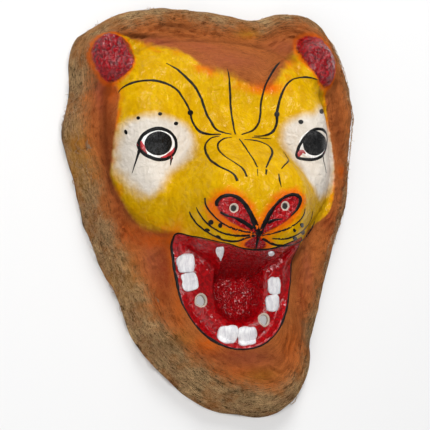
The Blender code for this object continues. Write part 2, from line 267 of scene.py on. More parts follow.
relief = {
    "body": {"wide": (24, 0.8), "narrow": (9, 0.3)},  # size and height of the lumps all over
    "border": {"wide": (27, 2.2), "narrow": (9, 1.3)},
    "strands": {"around": 64, "width": 3.2, "height": 1.6},  # how many around the rim, how wide, how high
    "fineStrands": {"around": 160, "width": 1.6, "height": 0.8},
    "crumple": {"size": 4.4, "height": 1.1},  # on the ears
    "wrinkle": {"size": 6.0, "height": 0.35},  # on the face
    "eyeball": {"spread": 17, "height": 2.2},
    "nostril": {"spread": 9, "height": -2.6},
    "holeEdge": {"width": 1.6, "height": -0.8},
    "edgeWobble": {"around": 64, "band": 6, "height": 1.3, "fade": 30},
    # degrees around the drawing's origin, how far the rim lies outside the plain outline
    "edgePush": (
        (-180, -0.5), (-165, -1.5), (-150, -2.0), (-135, -2.5), (-120, -1.5), (-100, 0.0), (-75, 0.5),
        (-62, 3.0), (-45, 1.0), (-25, 0.0), (-12, -1.5), (0, 0.5), (10, 0.5), (18, -2.5), (24, -3.0),
        (31, -4.0), (38, 0.0), (44, -2.5), (50, -2.5), (56, 1.0), (64, -1.5), (72, 0.0), (120, 0.0),
        (127, 2.0), (133, -2.5), (140, -2.5), (148, -4.0), (156, -1.5), (163, -2.5), (170, -2.0),
        (180, -0.5),
    ),
    "bareWidth": 14,  # the border's roughness fades out over this length at the face
    "foldLip": 0.55,  # how high a fold's sides stand, as a share of its depth
    "foldSide": 2.2,  # how far out they stand, in half widths
    "strandDrift": ((22, 2.2, 31), (7, 0.7, 37)),  # size of the sway, how many strands it crosses, seed
    "earFade": 8, "rimFade": 7,  # mm over which an ear's skin begins and the relief ends
}
# creases pressed into the fibre: photo pixels along each, its depth and half width in mm
folds = (
    (((95, 36), (104, 33), (116, 34), (128, 37), (140, 38.5), (153, 37.5)), 2.0, 1.6),
    (((150, 31), (160, 28), (172, 27), (186, 30), (200, 34), (214, 35)), 1.5, 1.5),
    (((162, 16), (174, 19), (190, 22), (206, 24), (222, 30)), 1.0, 1.3),
    (((258, 30), (272, 26), (288, 24), (302, 27)), 1.2, 1.5),
    (((73, 72), (70, 92), (75, 114), (86, 136), (92, 160), (90, 186)), 1.8, 2.4),
    (((66, 118), (74, 124), (78, 138), (76, 158), (80, 182)), 1.6, 2.0),
    (((92, 98), (96, 126), (103, 160), (110, 196)), 1.0, 2.0),
    (((80, 196), (85, 232), (97, 272), (114, 314)), 1.2, 2.2),
    (((166, 246), (157, 262), (154, 280), (160, 300), (172, 322)), 1.5, 4.5),
    (((196, 366), (214, 371), (236, 384), (250, 398)), 1.8, 1.8),
    (((176, 372), (200, 382), (222, 386), (244, 402)), 1.3, 1.5),
    (((262, 372), (276, 384), (288, 388), (299, 376)), 1.5, 1.8),
    (((150, 352), (170, 366), (186, 384), (214, 398)), 1.3, 1.8),
    (((336, 104), (341, 146), (339, 190), (331, 232)), 1.0, 1.8),
    (((312, 250), (306, 282), (302, 314), (306, 344)), 1.0, 2.2),
)
eyes = {"left": (-72, 66), "right": (72, 66)}


def lumps(u, v, seed, around=64):
    # smooth noise from -1 to 1: random heights on a square lattice, eased between its corners; it repeats
    lattice = np.random.default_rng(seed).uniform(-1, 1, (around, 64))
    i, j = np.floor(u).astype(int), np.floor(v).astype(int)
    a, b = smoothStep(u - i), smoothStep(v - j)
    i, j, i1, j1 = i % around, j % 64, (i + 1) % around, (j + 1) % 64
    low = lattice[i, j] * (1 - a) + lattice[i1, j] * a
    high = lattice[i, j1] * (1 - a) + lattice[i1, j1] * a
    return low * (1 - b) + high * b


def ridges(u, v, seed, around=64):
    # noise folded at its middle, so that it makes narrow crests: 1 - 2 |noise|
    return 1 - 2 * np.abs(lumps(u, v, seed, around))


def bareShare(x, y):
    # 1 on the border, 0 on the face and in the mouth
    foot = (faceReach(x, y) - 1) * form["face"]["halfHeight"]
    lips = -mouth.depth(x, y)
    return smoothStep(foot / relief["bareWidth"] + 0.5) * smoothStep(lips / relief["bareWidth"])


def reliefHeight(x, y):
    # lumps all over, strands and lumps on the border, a crumpled skin on the ears, hollows at holes, folds
    depth = rim.depth(x, y)
    turn = rim.angleOf(x, y) / math.tau
    ear = smoothStep(earHeight(x, y) / relief["earFade"])
    bare = bareShare(x, y) * (1 - ear)
    total = 0
    for seed, (size, height) in enumerate(relief["body"].values()):
        total = total + height * lumps(x / size, y / size, 11 + seed)
    for seed, (size, height) in enumerate(relief["border"].values()):
        total = total + bare * height * lumps(x / size, y / size, 21 + seed)
    for seed, strand in enumerate((relief["strands"], relief["fineStrands"])):
        drift = sum(
            sway * lumps(x / size, y / size, first + seed) for size, sway, first in relief["strandDrift"])
        lay = ridges(turn * strand["around"], depth / strand["width"] + drift, 33 + seed, strand["around"])
        total = total + bare * strand["height"] * lay
    total = total + ear * relief["crumple"]["height"] * ridges(
        x / relief["crumple"]["size"], y / relief["crumple"]["size"], 41)
    total = total + (1 - bare) * relief["wrinkle"]["height"] * ridges(
        x / relief["wrinkle"]["size"], y / relief["wrinkle"]["size"], 43)
    for middleX, middleY in eyes.values():
        away = np.hypot(x - middleX, y - middleY)
        total = total + relief["eyeball"]["height"] * bump(away, relief["eyeball"]["spread"])
    for name, (middleX, middleY, radius) in form["holes"].items():
        away = np.hypot(x - middleX, y - middleY)
        if name.startswith("nostril"):
            total = total + relief["nostril"]["height"] * bump(away, relief["nostril"]["spread"])
        edge = bump(np.clip(away - radius, 0, None), relief["holeEdge"]["width"])
        total = total + relief["holeEdge"]["height"] * edge
    for line, deep, wide in foldLines:
        away = distanceTo(line, x, y, False)[0]
        total = total - deep * bump(away, wide)
        total = total + relief["foldLip"] * deep * bump(away - relief["foldSide"] * wide, wide)
    return total * smoothStep(depth / relief["rimFade"])


def outerHeight(x, y):
    return formHeight(x, y) + reliefHeight(x, y)


def innerHeight(x, y):
    # a ball as big as the wall, rolled under the form, and cut off along a steep edge at the rim
    wall = shell["wall"]
    height = formHeight(x, y) - wall
    for share, directions in shell["ball"]:
        radius = share * wall
        for angle in turns(directions):
            touched = formHeight(x + radius * math.cos(angle), y + radius * math.sin(angle))
            height = np.minimum(height, touched - math.sqrt(wall**2 - radius**2))
    edge = shell["innerEdgeSlope"] * (rim.depth(x, y) - shell["rimWall"])
    rough = sum(rise * lumps(x / size, y / size, seed) for size, rise, seed in shell["innerLumps"])
    return np.clip(np.minimum(height + rough * smoothStep(edge / shell["innerFade"]), edge), 0, None)


def formNormal(x, y):
    # straight out of the form, from its slopes over a small step
    step = 0.8
    slopeX = (formHeight(x + step, y) - formHeight(x - step, y)) / (2 * step)
    slopeY = (formHeight(x, y + step) - formHeight(x, y - step)) / (2 * step)
    normal = np.stack([-slopeX, -slopeY, np.ones_like(slopeX)], -1)
    return normal / np.linalg.norm(normal, axis=-1, keepdims=True)


def onForm(flat, lift):
    # places x, y laid on the outer side and lifted along its normal
    x, y = flat[..., 0], flat[..., 1]
    place = np.concatenate([flat, outerHeight(x, y)[..., None]], -1)
    return place + formNormal(x, y) * np.broadcast_to(lift, x.shape)[..., None]


# The photograph's camera, in mm over the drawing, and the way from one of its pixels to the form

photoCamera = {
    "yaw": 22, "pitch": 14,  # degrees off straight in front: to the left and below
    "distance": 1700, "mmPerPixel": 0.95,
    "frame": 430, "aim": (218, 211),  # the pixel over the drawing's origin
    "sensor": 36, "sight": 20,  # mm, and how many m it sees
    "levels": (128, 0, 257), "halvings": 6,  # z from and to where rays are tried, and how often
}


def cameraAxes():
    # right, up and back of a camera that is turned by the yaw and then the pitch
    yaw, pitch = math.radians(photoCamera["yaw"]), math.radians(photoCamera["pitch"])
    up = np.array([0, math.cos(pitch), math.sin(pitch)])
    back = np.array([
        -math.sin(yaw), -math.sin(pitch) * math.cos(yaw), math.cos(pitch) * math.cos(yaw)])
    right = np.cross(up, back)
    right = right / np.linalg.norm(right)
    return right, np.cross(back, right), back


cameraRight, cameraUp, cameraBack = cameraAxes()
half = photoCamera["frame"] / 2
cameraAim = photoCamera["mmPerPixel"] * (
    cameraRight * (half - photoCamera["aim"][0]) + cameraUp * (photoCamera["aim"][1] - half))
cameraPlace = cameraAim + cameraBack * photoCamera["distance"]
pixelsToAim = photoCamera["distance"] / photoCamera["mmPerPixel"]


def onPhoto(pixels):
    # where the rays through pixels first meet the form: steps down in z, then halves between the last two
    pixels = np.array(pixels, float)
    ray = (
        cameraRight * (pixels[..., :1] - half) + cameraUp * (half - pixels[..., 1:2])
        - cameraBack * pixelsToAim
    )
    ray = ray / ray[..., 2:]
    levels = np.linspace(*photoCamera["levels"])

    def at(z):
        return cameraPlace + ray * (z - cameraPlace[2])[..., None]

    gap = np.stack([
        formHeight(*np.moveaxis(at(np.full(pixels.shape[:-1], z))[..., :2], -1, 0)) - z for z in levels])
    first = np.argmax(gap >= 0, 0)
    above, below = levels[np.maximum(first - 1, 0)], levels[first]
    for step in range(photoCamera["halvings"]):
        middle = (above + below) / 2
        place = at(middle)
        inside = formHeight(place[..., 0], place[..., 1]) >= middle
        below, above = np.where(inside, middle, below), np.where(inside, above, middle)
    return at((above + below) / 2)[..., :2]


def distanceTo(points, x, y, closed=True):
    # the least distance from places to a line of points, and whether they lie inside it
    p = np.array(points, float)
    ends = np.roll(p, -1, 0) if closed else p[1:]
    least = np.full(x.shape, 1e9)
    inside = np.zeros(x.shape, bool)
    for (ax, ay), (bx, by) in zip(p, ends):
        runX, runY = bx - ax, by - ay
        t = np.clip(((x - ax) * runX + (y - ay) * runY) / max(runX**2 + runY**2, 1e-9), 0, 1)
        least = np.minimum(least, np.hypot(x - ax - t * runX, y - ay - t * runY))
        if ay != by:
            inside ^= ((ay > y) != (by > y)) & (x < ax + (y - ay) * runX / runY)
    return least, inside


def depthInside(points, x, y):
    # distance to a closed line, negative outside it
    least, inside = distanceTo(points, x, y)
    return np.where(inside, least, -least)


foldLines = [(smoothCurve(onPhoto(pixels), 4, False), deep, wide) for pixels, deep, wide in folds]


# Meshes

def toWorld(points):
    shifted = np.array(points, float)
    shifted[..., :2] -= drawing["shift"]
    return shifted * drawing["mm"]


def addMesh(name, made, material):
    # a new object from points and faces over the drawing
    points, faces = made
    mesh = bpy.data.meshes.new(name)
    mesh.from_pydata(toWorld(points).reshape(-1, 3).tolist(), [], [list(map(int, face)) for face in faces])
    mesh.materials.append(material)
    mesh.shade_smooth()
    piece = bpy.data.objects.new(name, mesh)
    bpy.context.scene.collection.objects.link(piece)
    return piece


def keep(piece, slot, *replaced):
    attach(piece, "root")
    if replaced:
        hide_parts(*replaced)


def addPaint(name, made, material):
    keep(addMesh(name, made, material), "painted_fibre")


def loft(rings, around=False):
    # quads between one ring of points and the next; each end is one face, or they meet if it goes around
    count, sides = rings.shape[:2]
    index = np.arange(count * sides).reshape(count, sides)
    ahead = np.roll(index, -1, 1)
    near, far = (index, np.roll(index, -1, 0)) if around else (index[:-1], index[1:])
    nearAhead, farAhead = (ahead, np.roll(ahead, -1, 0)) if around else (ahead[:-1], ahead[1:])
    faces = np.stack([near, nearAhead, farAhead, far], -1).reshape(-1, 4).tolist()
    if not around:
        faces += [index[0, ::-1].tolist(), index[-1].tolist()]
    return rings.reshape(-1, 3), faces


def joined(parts):
    # several lofts as one list of points and one of faces
    points, faces, start = [], [], 0
    for partPoints, partFaces in parts:
        points.append(partPoints)
        faces += [[corner + start for corner in face] for face in partFaces]
        start += len(partPoints)
    return np.concatenate(points), faces


# Materials

def linear(value):
    # a screen value from 0 to 255 as light from 0 to 1
    value = value / 255
    return value / 12.92 if value <= 0.04045 else ((value + 0.055) / 1.055) ** 2.4


def paint(red, green, blue):
    return (linear(red), linear(green), linear(blue), 1)


class Signal:
    # what a node gives; adding, subtracting and multiplying it makes more nodes

    def __init__(self, board, socket):
        self.board = board
        self.socket = socket

    def __add__(self, other):
        return self.board.math("ADD", self, other)

    def __sub__(self, other):
        return self.board.math("SUBTRACT", self, other)

    def __rsub__(self, other):
        return self.board.math("SUBTRACT", other, self)

    def __mul__(self, other):
        return self.board.math("MULTIPLY", self, other)

    def over(self, other):
        # the larger of the two
        return self.board.math("MAXIMUM", self, other)

    def scaled(self, amount):
        return self.board.vectorMath("SCALE", self, Scale=amount)

    def stretched(self, x, y, z):
        return self.board.vectorMath("MULTIPLY", self, (x, y, z))

    def step(self, low, high, toLow=0.0, toHigh=1.0):
        # an S curve from one value to another
        node = self.board.add(
            "ShaderNodeMapRange", {"interpolation_type": "SMOOTHSTEP"},
            Value=self, From_Min=low, From_Max=high, To_Min=toLow, To_Max=toHigh)
        return Signal(self.board, node.outputs[0])


class Board:
    # short calls for the nodes that the finishes are made of

    def __init__(self, tree):
        self.tree = tree

    def put(self, socket, value):
        if isinstance(value, Signal):
            self.tree.links.new(value.socket, socket)
        else:
            socket.default_value = value

    def add(self, kind, settings=None, **inputs):
        node = self.tree.nodes.new(kind)
        for name, value in (settings or {}).items():
            setattr(node, name, value)
        for name, value in inputs.items():
            self.put(node.inputs[name.replace("_", " ")], value)
        return node

    def filled(self, node, places, values, output=0):
        # puts the values on the inputs at these places
        for place, value in zip(places, values):
            self.put(node.inputs[place], value)
        return Signal(self, node.outputs[output])

    def math(self, operation, a, b=0.0):
        return self.filled(self.add("ShaderNodeMath", {"operation": operation}), (0, 1), (a, b))

    def vectorMath(self, operation, a, b=(0, 0, 0), output=0, **inputs):
        node = self.add("ShaderNodeVectorMath", {"operation": operation}, **inputs)
        return self.filled(node, (0, 1), (a, b), output)

    def mix(self, share, a, b):
        # a colour between a and b
        return self.filled(self.add("ShaderNodeMix", {"data_type": "RGBA"}), (0, 6, 7), (share, a, b), 2)

    def blend(self, share, a, b):
        # a value between a and b
        return self.filled(self.add("ShaderNodeMix", {"data_type": "FLOAT"}), (0, 2, 3), (share, a, b))

    def noise(self, vector, scale, detail=3.0, roughness=0.55, warp=0.0, output=0):
        node = self.add(
            "ShaderNodeTexNoise",
            Vector=vector, Scale=scale, Detail=detail, Roughness=roughness, Distortion=warp)
        return Signal(self, node.outputs[output])

    def cells(self, vector, scale):
        node = self.add("ShaderNodeTexVoronoi", {"feature": "DISTANCE_TO_EDGE"}, Vector=vector, Scale=scale)
        return Signal(self, node.outputs["Distance"])

    def bent(self, vector, scale, reach):
        # a vector pushed by the colour of a wide noise, times the reach
        push = self.noise(vector, scale, 2.0, 0.5, output="Color")
        node = self.add("ShaderNodeVectorMath", {"operation": "MULTIPLY_ADD"})
        return self.filled(node, (0, 1, 2), (push, (reach, reach, reach), vector))

    def objectPlace(self):
        return Signal(self, self.add("ShaderNodeTexCoord").outputs["Object"])

    def objectMm(self):
        return self.objectPlace().stretched(1000, 1000, 1000)

    def reading(self, name, output="Fac"):
        return Signal(self, self.add("ShaderNodeAttribute", {"attribute_name": name}).outputs[output])

    def group(self, name, **inputs):
        node = self.add("ShaderNodeGroup", {"node_tree": bpy.data.node_groups[name]}, **inputs)
        return {socket.name: Signal(self, socket) for socket in node.outputs}

    def relief(self, shader, height, strength, distance, names=("Normal",)):
        # bumps the shader's normals by the height
        node = self.add("ShaderNodeBump", Strength=strength, Distance=distance, Height=height)
        for name in names:
            self.put(shader[name], Signal(self, node.outputs[0]))


def newGroup(name, outputs):
    # an empty node group of a vector and a size: its board, the vector, 1 / size and its outputs' sockets
    tree = bpy.data.node_groups.new(name, "ShaderNodeTree")
    tree.interface.new_socket("Vector", in_out="INPUT", socket_type="NodeSocketVector")
    size = tree.interface.new_socket("Size", in_out="INPUT", socket_type="NodeSocketFloat")
    size.default_value = 1.0
    for output in outputs:
        tree.interface.new_socket(output, in_out="OUTPUT", socket_type="NodeSocketFloat")
    board = Board(tree)
    given = tree.nodes.new("NodeGroupInput").outputs
    fineness = board.math("DIVIDE", 1.0, Signal(board, given["Size"]))
    return board, Signal(board, given["Vector"]), fineness, tree.nodes.new("NodeGroupOutput").inputs


def makeFibreGroup():
    # matted strands: long narrow noise along the vector's x and y, shorter noise across it, and hairs where
    # a finer noise crosses its middle
    board, vector, fineness, out = newGroup("fibreStrands", ("Tone", "Height"))
    along = vector.stretched(0.1, 0.1, 0.7).scaled(fineness)
    across = vector.stretched(0.3, 0.3, 0.34).scaled(fineness)
    long = board.noise(along, 1.0, 5.0, 0.6, 1.2)
    short = board.noise(across, 1.0, 4.0, 0.6, 0.8)
    hair = board.math("ABSOLUTE", board.noise(along, 3.1, 3.0, 0.6, 1.6) - 0.5).step(0.0, 0.09, 1.0, 0.0)
    board.put(out["Tone"], (long * 0.5 + short * 0.2 + hair * 0.26).step(0.28, 0.64))
    board.put(out["Height"], long + short * 0.5 + hair * 0.16)


def makeBrushGroup():
    # brush marks: noise drawn out along a bent direction, fine bristle lines in broad bands
    board, vector, fineness, out = newGroup("brushMarks", ("Tone", "Height"))
    lines = board.bent(vector, 0.03, 16).stretched(0.55, 0.09, 0.2).scaled(fineness)
    bristles = board.noise(lines, 1.0, 4.0, 0.6)
    bands = board.noise(lines, 0.35, 2.0, 0.5)
    board.put(out["Tone"], (bristles * 0.5 + bands * 0.5).step(0.3, 0.7))
    board.put(out["Height"], bristles)


def makeCrackleGroup():
    # a thick glossy coat that wrinkled as it dried: bent cells and fine ripples
    board, vector, fineness, out = newGroup("wrinkledGloss", ("Height", "Tone"))
    bent = board.bent(vector.scaled(fineness), 0.3, 3.5)
    cell = board.cells(bent, 0.32).step(0.0, 0.35)
    ripple = board.noise(bent, 0.7, 3.0, 0.55, 0.6)
    board.put(out["Height"], cell * 0.6 + ripple * 0.8)
    board.put(out["Tone"], ripple)


makeFibreGroup()
makeBrushGroup()
makeCrackleGroup()


def newMaterial(name):
    material = bpy.data.materials.new(name)
    material.use_nodes = True
    shader = material.node_tree.nodes["Principled BSDF"]
    return material, Board(material.node_tree), shader.inputs


rawFibre = {
    "dark": paint(58, 36, 20), "light": paint(218, 178, 126), "rust": paint(164, 96, 40),
    "pale": paint(205, 192, 178),
}


def rawFibreMaterial(name, pale=0.0):
    # bare plant fibre, for strands and cut edges: the strands' tone from dark to light, rust in patches
    material, board, shader = newMaterial(name)
    place = board.objectMm()
    strands = board.group("fibreStrands", Vector=place, Size=0.8)
    colour = board.mix(strands["Tone"], rawFibre["dark"], rawFibre["light"])
    colour = board.mix(board.noise(place, 0.05) * 0.5, colour, rawFibre["rust"])
    board.put(shader["Base Color"], board.mix(pale, colour, rawFibre["pale"]))
    board.put(shader["Roughness"], strands["Tone"].step(0, 1, 0.92, 0.78))
    board.relief(shader, strands["Height"], 0.5, 0.0004)
    return material


# Shell

shell = {
    "wall": 4.0, "rimWall": 7.0, "innerEdgeSlope": 3,
    "columns": 240, "rows": 300,  # cells of the outer side; the wearer's side has half as many each way
    "corners": (128, 238, 303, 52),  # crown left, chin left, chin right, crown right, in degrees
    "sharpEdge": 65,  # degrees
    "ball": ((0.5, 8), (0.8, 12), (0.96, 16)),  # rings on it: share of its radius, directions
    "innerLumps": ((13, 0.5, 51), (5, 0.35, 52)), "innerFade": 8,  # size, height and seed
    "drill": {"sides": 40, "ends": (-10.0, 150.0)},
}


def flatGrid(inset, columns, rows):
    # places inside the rim, spread evenly between four stretches of it (a Coons patch)
    crownLeft, chinLeft, chinRight, crownRight = (math.radians(angle) for angle in shell["corners"])
    u, v = np.linspace(0, 1, columns + 1), np.linspace(0, 1, rows + 1)
    crown = rim.point(crownLeft + (crownRight - crownLeft) * u, inset)
    chin = rim.point(chinLeft + (chinRight - chinLeft) * u, inset)
    left = rim.point(chinLeft + (crownLeft - chinLeft) * v, inset)
    right = rim.point(chinRight + (crownRight + math.tau - chinRight) * v, inset)
    u, v = u[:, None, None], v[None, :, None]
    betweenEnds = (1 - v) * chin[:, None] + v * crown[:, None]
    betweenSides = (1 - u) * left[None] + u * right[None]
    chinCorners = (1 - u) * chin[0] + u * chin[-1]
    crownCorners = (1 - u) * crown[0] + u * crown[-1]
    return betweenEnds + betweenSides - (1 - v) * chinCorners - v * crownCorners


def evenOut(flat, height, passes=6, calm=0.25):
    # slides the places along their grid lines, until the formed surface's cells are about even
    for step in range(2 * passes):
        lines = flat if step % 2 else flat.transpose(1, 0, 2)
        formed = np.concatenate([lines, height(lines[..., 0], lines[..., 1])[..., None]], 2)
        run = np.linalg.norm(np.diff(formed, axis=1), axis=2)
        run = run + calm * run.mean(1, keepdims=True)
        travel = np.concatenate([np.zeros((len(lines), 1)), np.cumsum(run, 1)], 1)
        even = np.linspace(0, 1, lines.shape[1])
        moved = lines.copy()
        for k in range(1, len(lines) - 1):
            for axis in (0, 1):
                moved[k, :, axis] = np.interp(even, travel[k] / travel[k, -1], lines[k, :, axis])
        flat = moved if step % 2 else moved.transpose(1, 0, 2)
    return flat


def border(index):
    # the grid's edge as one loop
    return np.concatenate([index[:-1, 0], index[-1, :-1], index[:0:-1, -1], index[0, :0:-1]])


def shellMesh():
    # outer and inner grids, joined under the rim by three triangles for two outer edges and one inner
    columns, rows = shell["columns"], shell["rows"]
    flat = evenOut(flatGrid(0, columns, rows), formHeight)
    z = outerHeight(flat[..., 0], flat[..., 1])
    z[0, :] = z[-1, :] = z[:, 0] = z[:, -1] = 0
    flat = flat + edgeWobble(flat[..., 0], flat[..., 1], z)
    outer = np.concatenate([flat, z[..., None]], 2)
    flat = evenOut(flatGrid(shell["rimWall"], columns // 2, rows // 2), formHeight)
    z = innerHeight(flat[..., 0], flat[..., 1])
    z[0, :] = z[-1, :] = z[:, 0] = z[:, -1] = 0
    inner = np.concatenate([flat, z[..., None]], 2)
    faces = []
    for grid, start, turn in ((outer, 0, 1), (inner, outer[..., 0].size, -1)):
        index = np.arange(grid[..., 0].size).reshape(grid.shape[:2]) + start
        quads = np.stack([index[:-1, :-1], index[1:, :-1], index[1:, 1:], index[:-1, 1:]], -1)
        faces += quads.reshape(-1, 4)[:, ::turn].tolist()
    outerLoop = border(np.arange(outer[..., 0].size).reshape(outer.shape[:2]))
    innerLoop = border(np.arange(inner[..., 0].size).reshape(inner.shape[:2])) + outer[..., 0].size
    first, second, third = outerLoop[::2], outerLoop[1::2], np.roll(outerLoop[::2], -1)
    ahead = np.roll(innerLoop, -1)
    for corners in ((first, innerLoop, second), (second, innerLoop, ahead), (second, ahead, third)):
        faces += np.stack(corners, -1).tolist()
    return np.concatenate([outer.reshape(-1, 3), inner.reshape(-1, 3)]), faces


def edgeWobble(x, y, z):
    # pushes the rolled edge in and out, less and less away from the rim
    wobble = relief["edgeWobble"]
    turn = rim.angleOf(x, y)
    push = lumps(turn / math.tau * wobble["around"], z / wobble["band"], 61, wobble["around"])
    push = push * wobble["height"] + np.interp(
        np.degrees(turn), *np.array(relief["edgePush"], float).T, period=360)
    push = push * (1 - smoothStep(rim.depth(x, y) / wobble["fade"]))
    return np.stack([np.cos(turn), np.sin(turn)], -1) * push[..., None]


def drillMesh():
    # prisms along z for the four holes
    parts = []
    angle = turns(shell["drill"]["sides"])
    for x, y, radius in form["holes"].values():
        ring = np.stack([x + radius * np.cos(angle), y + radius * np.sin(angle)], -1)
        parts.append(loft(np.stack([np.insert(ring, 2, z, axis=1) for z in shell["drill"]["ends"]])))
    return joined(parts)


# Paint areas. "seen" are pixels of the photograph, "hidden" are places in mm that it doesn't show.

paintAreas = {
    "yellow": {
        "seen": (
            (119, 92), (118, 106), (116, 125), (114, 144), (112, 160), (110.5, 173), (113, 183),
            (117, 194), (124, 205), (131, 216), (143, 226), (158, 231), (175, 234), (200, 244),
        ),
        "hidden": (
            (20, -70), (45, -55), (57, -46), (72, -31), (88, -19), (102, -9), (110, 10), (114, 44),
            (113, 90), (112, 118), (118, 132), (118, 150), (110, 160), (98, 163), (86, 160),
        ),
        "seenAgain": (
            (297, 51), (287.5, 61), (282.5, 69), (276, 80), (266, 90), (257, 87), (241, 80), (226, 73),
            (212.5, 69), (201, 64), (192, 57), (180, 51), (165, 48), (149.5, 45), (134, 41), (122.5, 35),
            (108, 34), (100, 40), (104, 60), (112, 80),
        ),
    },
    "leftWhite": {
        "seen": (
            (119, 141), (122, 131), (129, 123), (140, 118), (157, 116.5), (172, 121), (185, 128),
            (192, 141), (188, 155), (177, 166), (166, 176), (160, 187), (148, 194), (138, 190),
            (129, 181), (119, 170), (116, 155),
        ),
    },
    "rightWhite": {
        "seen": (
            (285, 148), (283, 134), (289, 123), (302, 117), (316, 113.5),
        ),
        "hidden": ((98, 90), (109, 77), (115, 56), (112, 34), (104, 14)),
        "seenAgain": ((319, 195), (311, 183), (303, 171), (295, 160)),
    },
    "leftNostril": {
        "seen": (
            (216.8, 202.4), (221, 197), (229, 195), (238, 198), (246, 206.5), (251, 216.5), (256, 230),
            (257.5, 236), (250.8, 231.5), (242, 228), (232.6, 223), (224, 217), (218.5, 210),
        ),
    },
    "rightNostril": {
        "seen": (
            (258.5, 236), (264, 223), (270.7, 211.6), (279, 201.6), (289, 195.5), (297, 195.5), (301, 201),
            (295.6, 212), (287, 220.5), (277, 226.5), (267.4, 231.5),
        ),
    },
    "philtrum": {
        "seen": ((257.5, 235), (252, 238), (245, 243), (247, 247.5), (256, 249), (263, 248.5), (266, 244)),
    },
}
# soft spots of other paint over the border's wash, and under "dark" spots of painted shade: photo x, y, reach
# across and along in mm, strength
paintSpots = {
    "rust": (
        (164, 268, 8, 30, 0.9), (118, 212, 10, 20, 0.45), (104, 122, 6, 40, 0.5), (112, 168, 6, 26, 0.4),
        (230, 354, 34, 6, 0.6), (300, 296, 6, 34, 0.6), (140, 236, 20, 9, 0.5), (330, 222, 8, 14, 0.6),
        (338, 140, 5, 60, 0.3),
    ),
    "pink": (
        (101, 86, 8, 20, 0.85), (150, 262, 9, 20, 0.5), (230, 60, 34, 12, 0.5), (150, 42, 24, 5, 0.8),
        (250, 360, 26, 9, 0.55), (306, 270, 6, 22, 0.5), (200, 46, 24, 8, 0.5), (285, 48, 20, 8, 0.5),
    ),
    "orange": (
        (111, 92, 6, 14, 0.7), (110, 118, 4, 22, 0.2), (157, 240, 16, 7, 0.7), (172, 252, 4, 22, 0.9),
        (178, 305, 5, 22, 0.4), (207, 344, 12, 8, 0.8), (341, 172, 4, 6, 0.9), (150, 300, 20, 26, 0.15),
        (272, 88, 13, 6, 0.9), (255, 88, 16, 5, 0.5), (128, 230, 14, 8, 0.4), (250, 36, 9, 3, 0.6),
        (290, 345, 14, 14, 0.35), (236, 372, 30, 8, 0.3),
    ),
    "gold": (
        (76, 150, 8, 22, 0.8), (85, 175, 10, 20, 0.4), (248, 34, 11, 4, 1.0), (120, 282, 16, 22, 0.35),
        (180, 340, 12, 8, 0.3), (262, 375, 16, 6, 0.45), (130, 40, 14, 4, 0.5),
    ),
    "soft": (
        (235, 72, 70, 18, 1.0), (165, 46, 26, 9, 0.8), (290, 62, 18, 18, 0.9), (140, 232, 30, 10, 0.6)),
    # painted shade along creases, folds and valleys
    "dark": (
        (112, 142, 4, 46, 0.4), (104, 192, 10, 22, 0.2), (125, 222, 12, 8, 0.2), (140, 37, 20, 2.6, 0.9),
        (176, 27, 16, 4, 0.55), (170, 346, 16, 8, 0.45), (338, 130, 4, 40, 0.4), (292, 262, 4, 24, 0.4),
        (308, 345, 8, 12, 0.4),
    ),
}
# how far in from the rim the bare fibre reaches: degrees around the drawing's origin, mm
bareReach = (
    (-180, 17), (-150, 22), (-125, 26), (-100, 28), (-75, 22), (-50, 12), (-20, 8), (20, 8), (50, 13),
    (75, 21), (100, 21), (120, 21), (140, 15), (160, 18), (180, 17),
)


def areaOutline(name):
    area = paintAreas[name]
    points = [onPhoto(area["seen"])]
    if "hidden" in area:
        points.append(np.array(area["hidden"], float))
        points.append(onPhoto(area["seenAgain"]))
    return smoothCurve(np.concatenate(points), 5, True)


def spotShare(name, x, y):
    # the sum of soft ellipses, up to 1
    total = 0
    for pixelX, pixelY, reachX, reachY, strength in paintSpots[name]:
        middleX, middleY = onPhoto([(pixelX, pixelY)])[0]
        total = total + strength * bump(np.hypot((x - middleX) / reachX, (y - middleY) / reachY), 1)
    return np.clip(total, 0, 1)


# a crease is how far a point lies under the mean of a ring of points; "behind" is the most that a normal's z is
# on the wearer's side; "soft" is how much softer the yellow's edge gets; "winding" is the radius of a circle
reading = {"creaseReach": 5, "creaseWays": 8, "behind": -0.2, "soft": 4, "winding": 100}


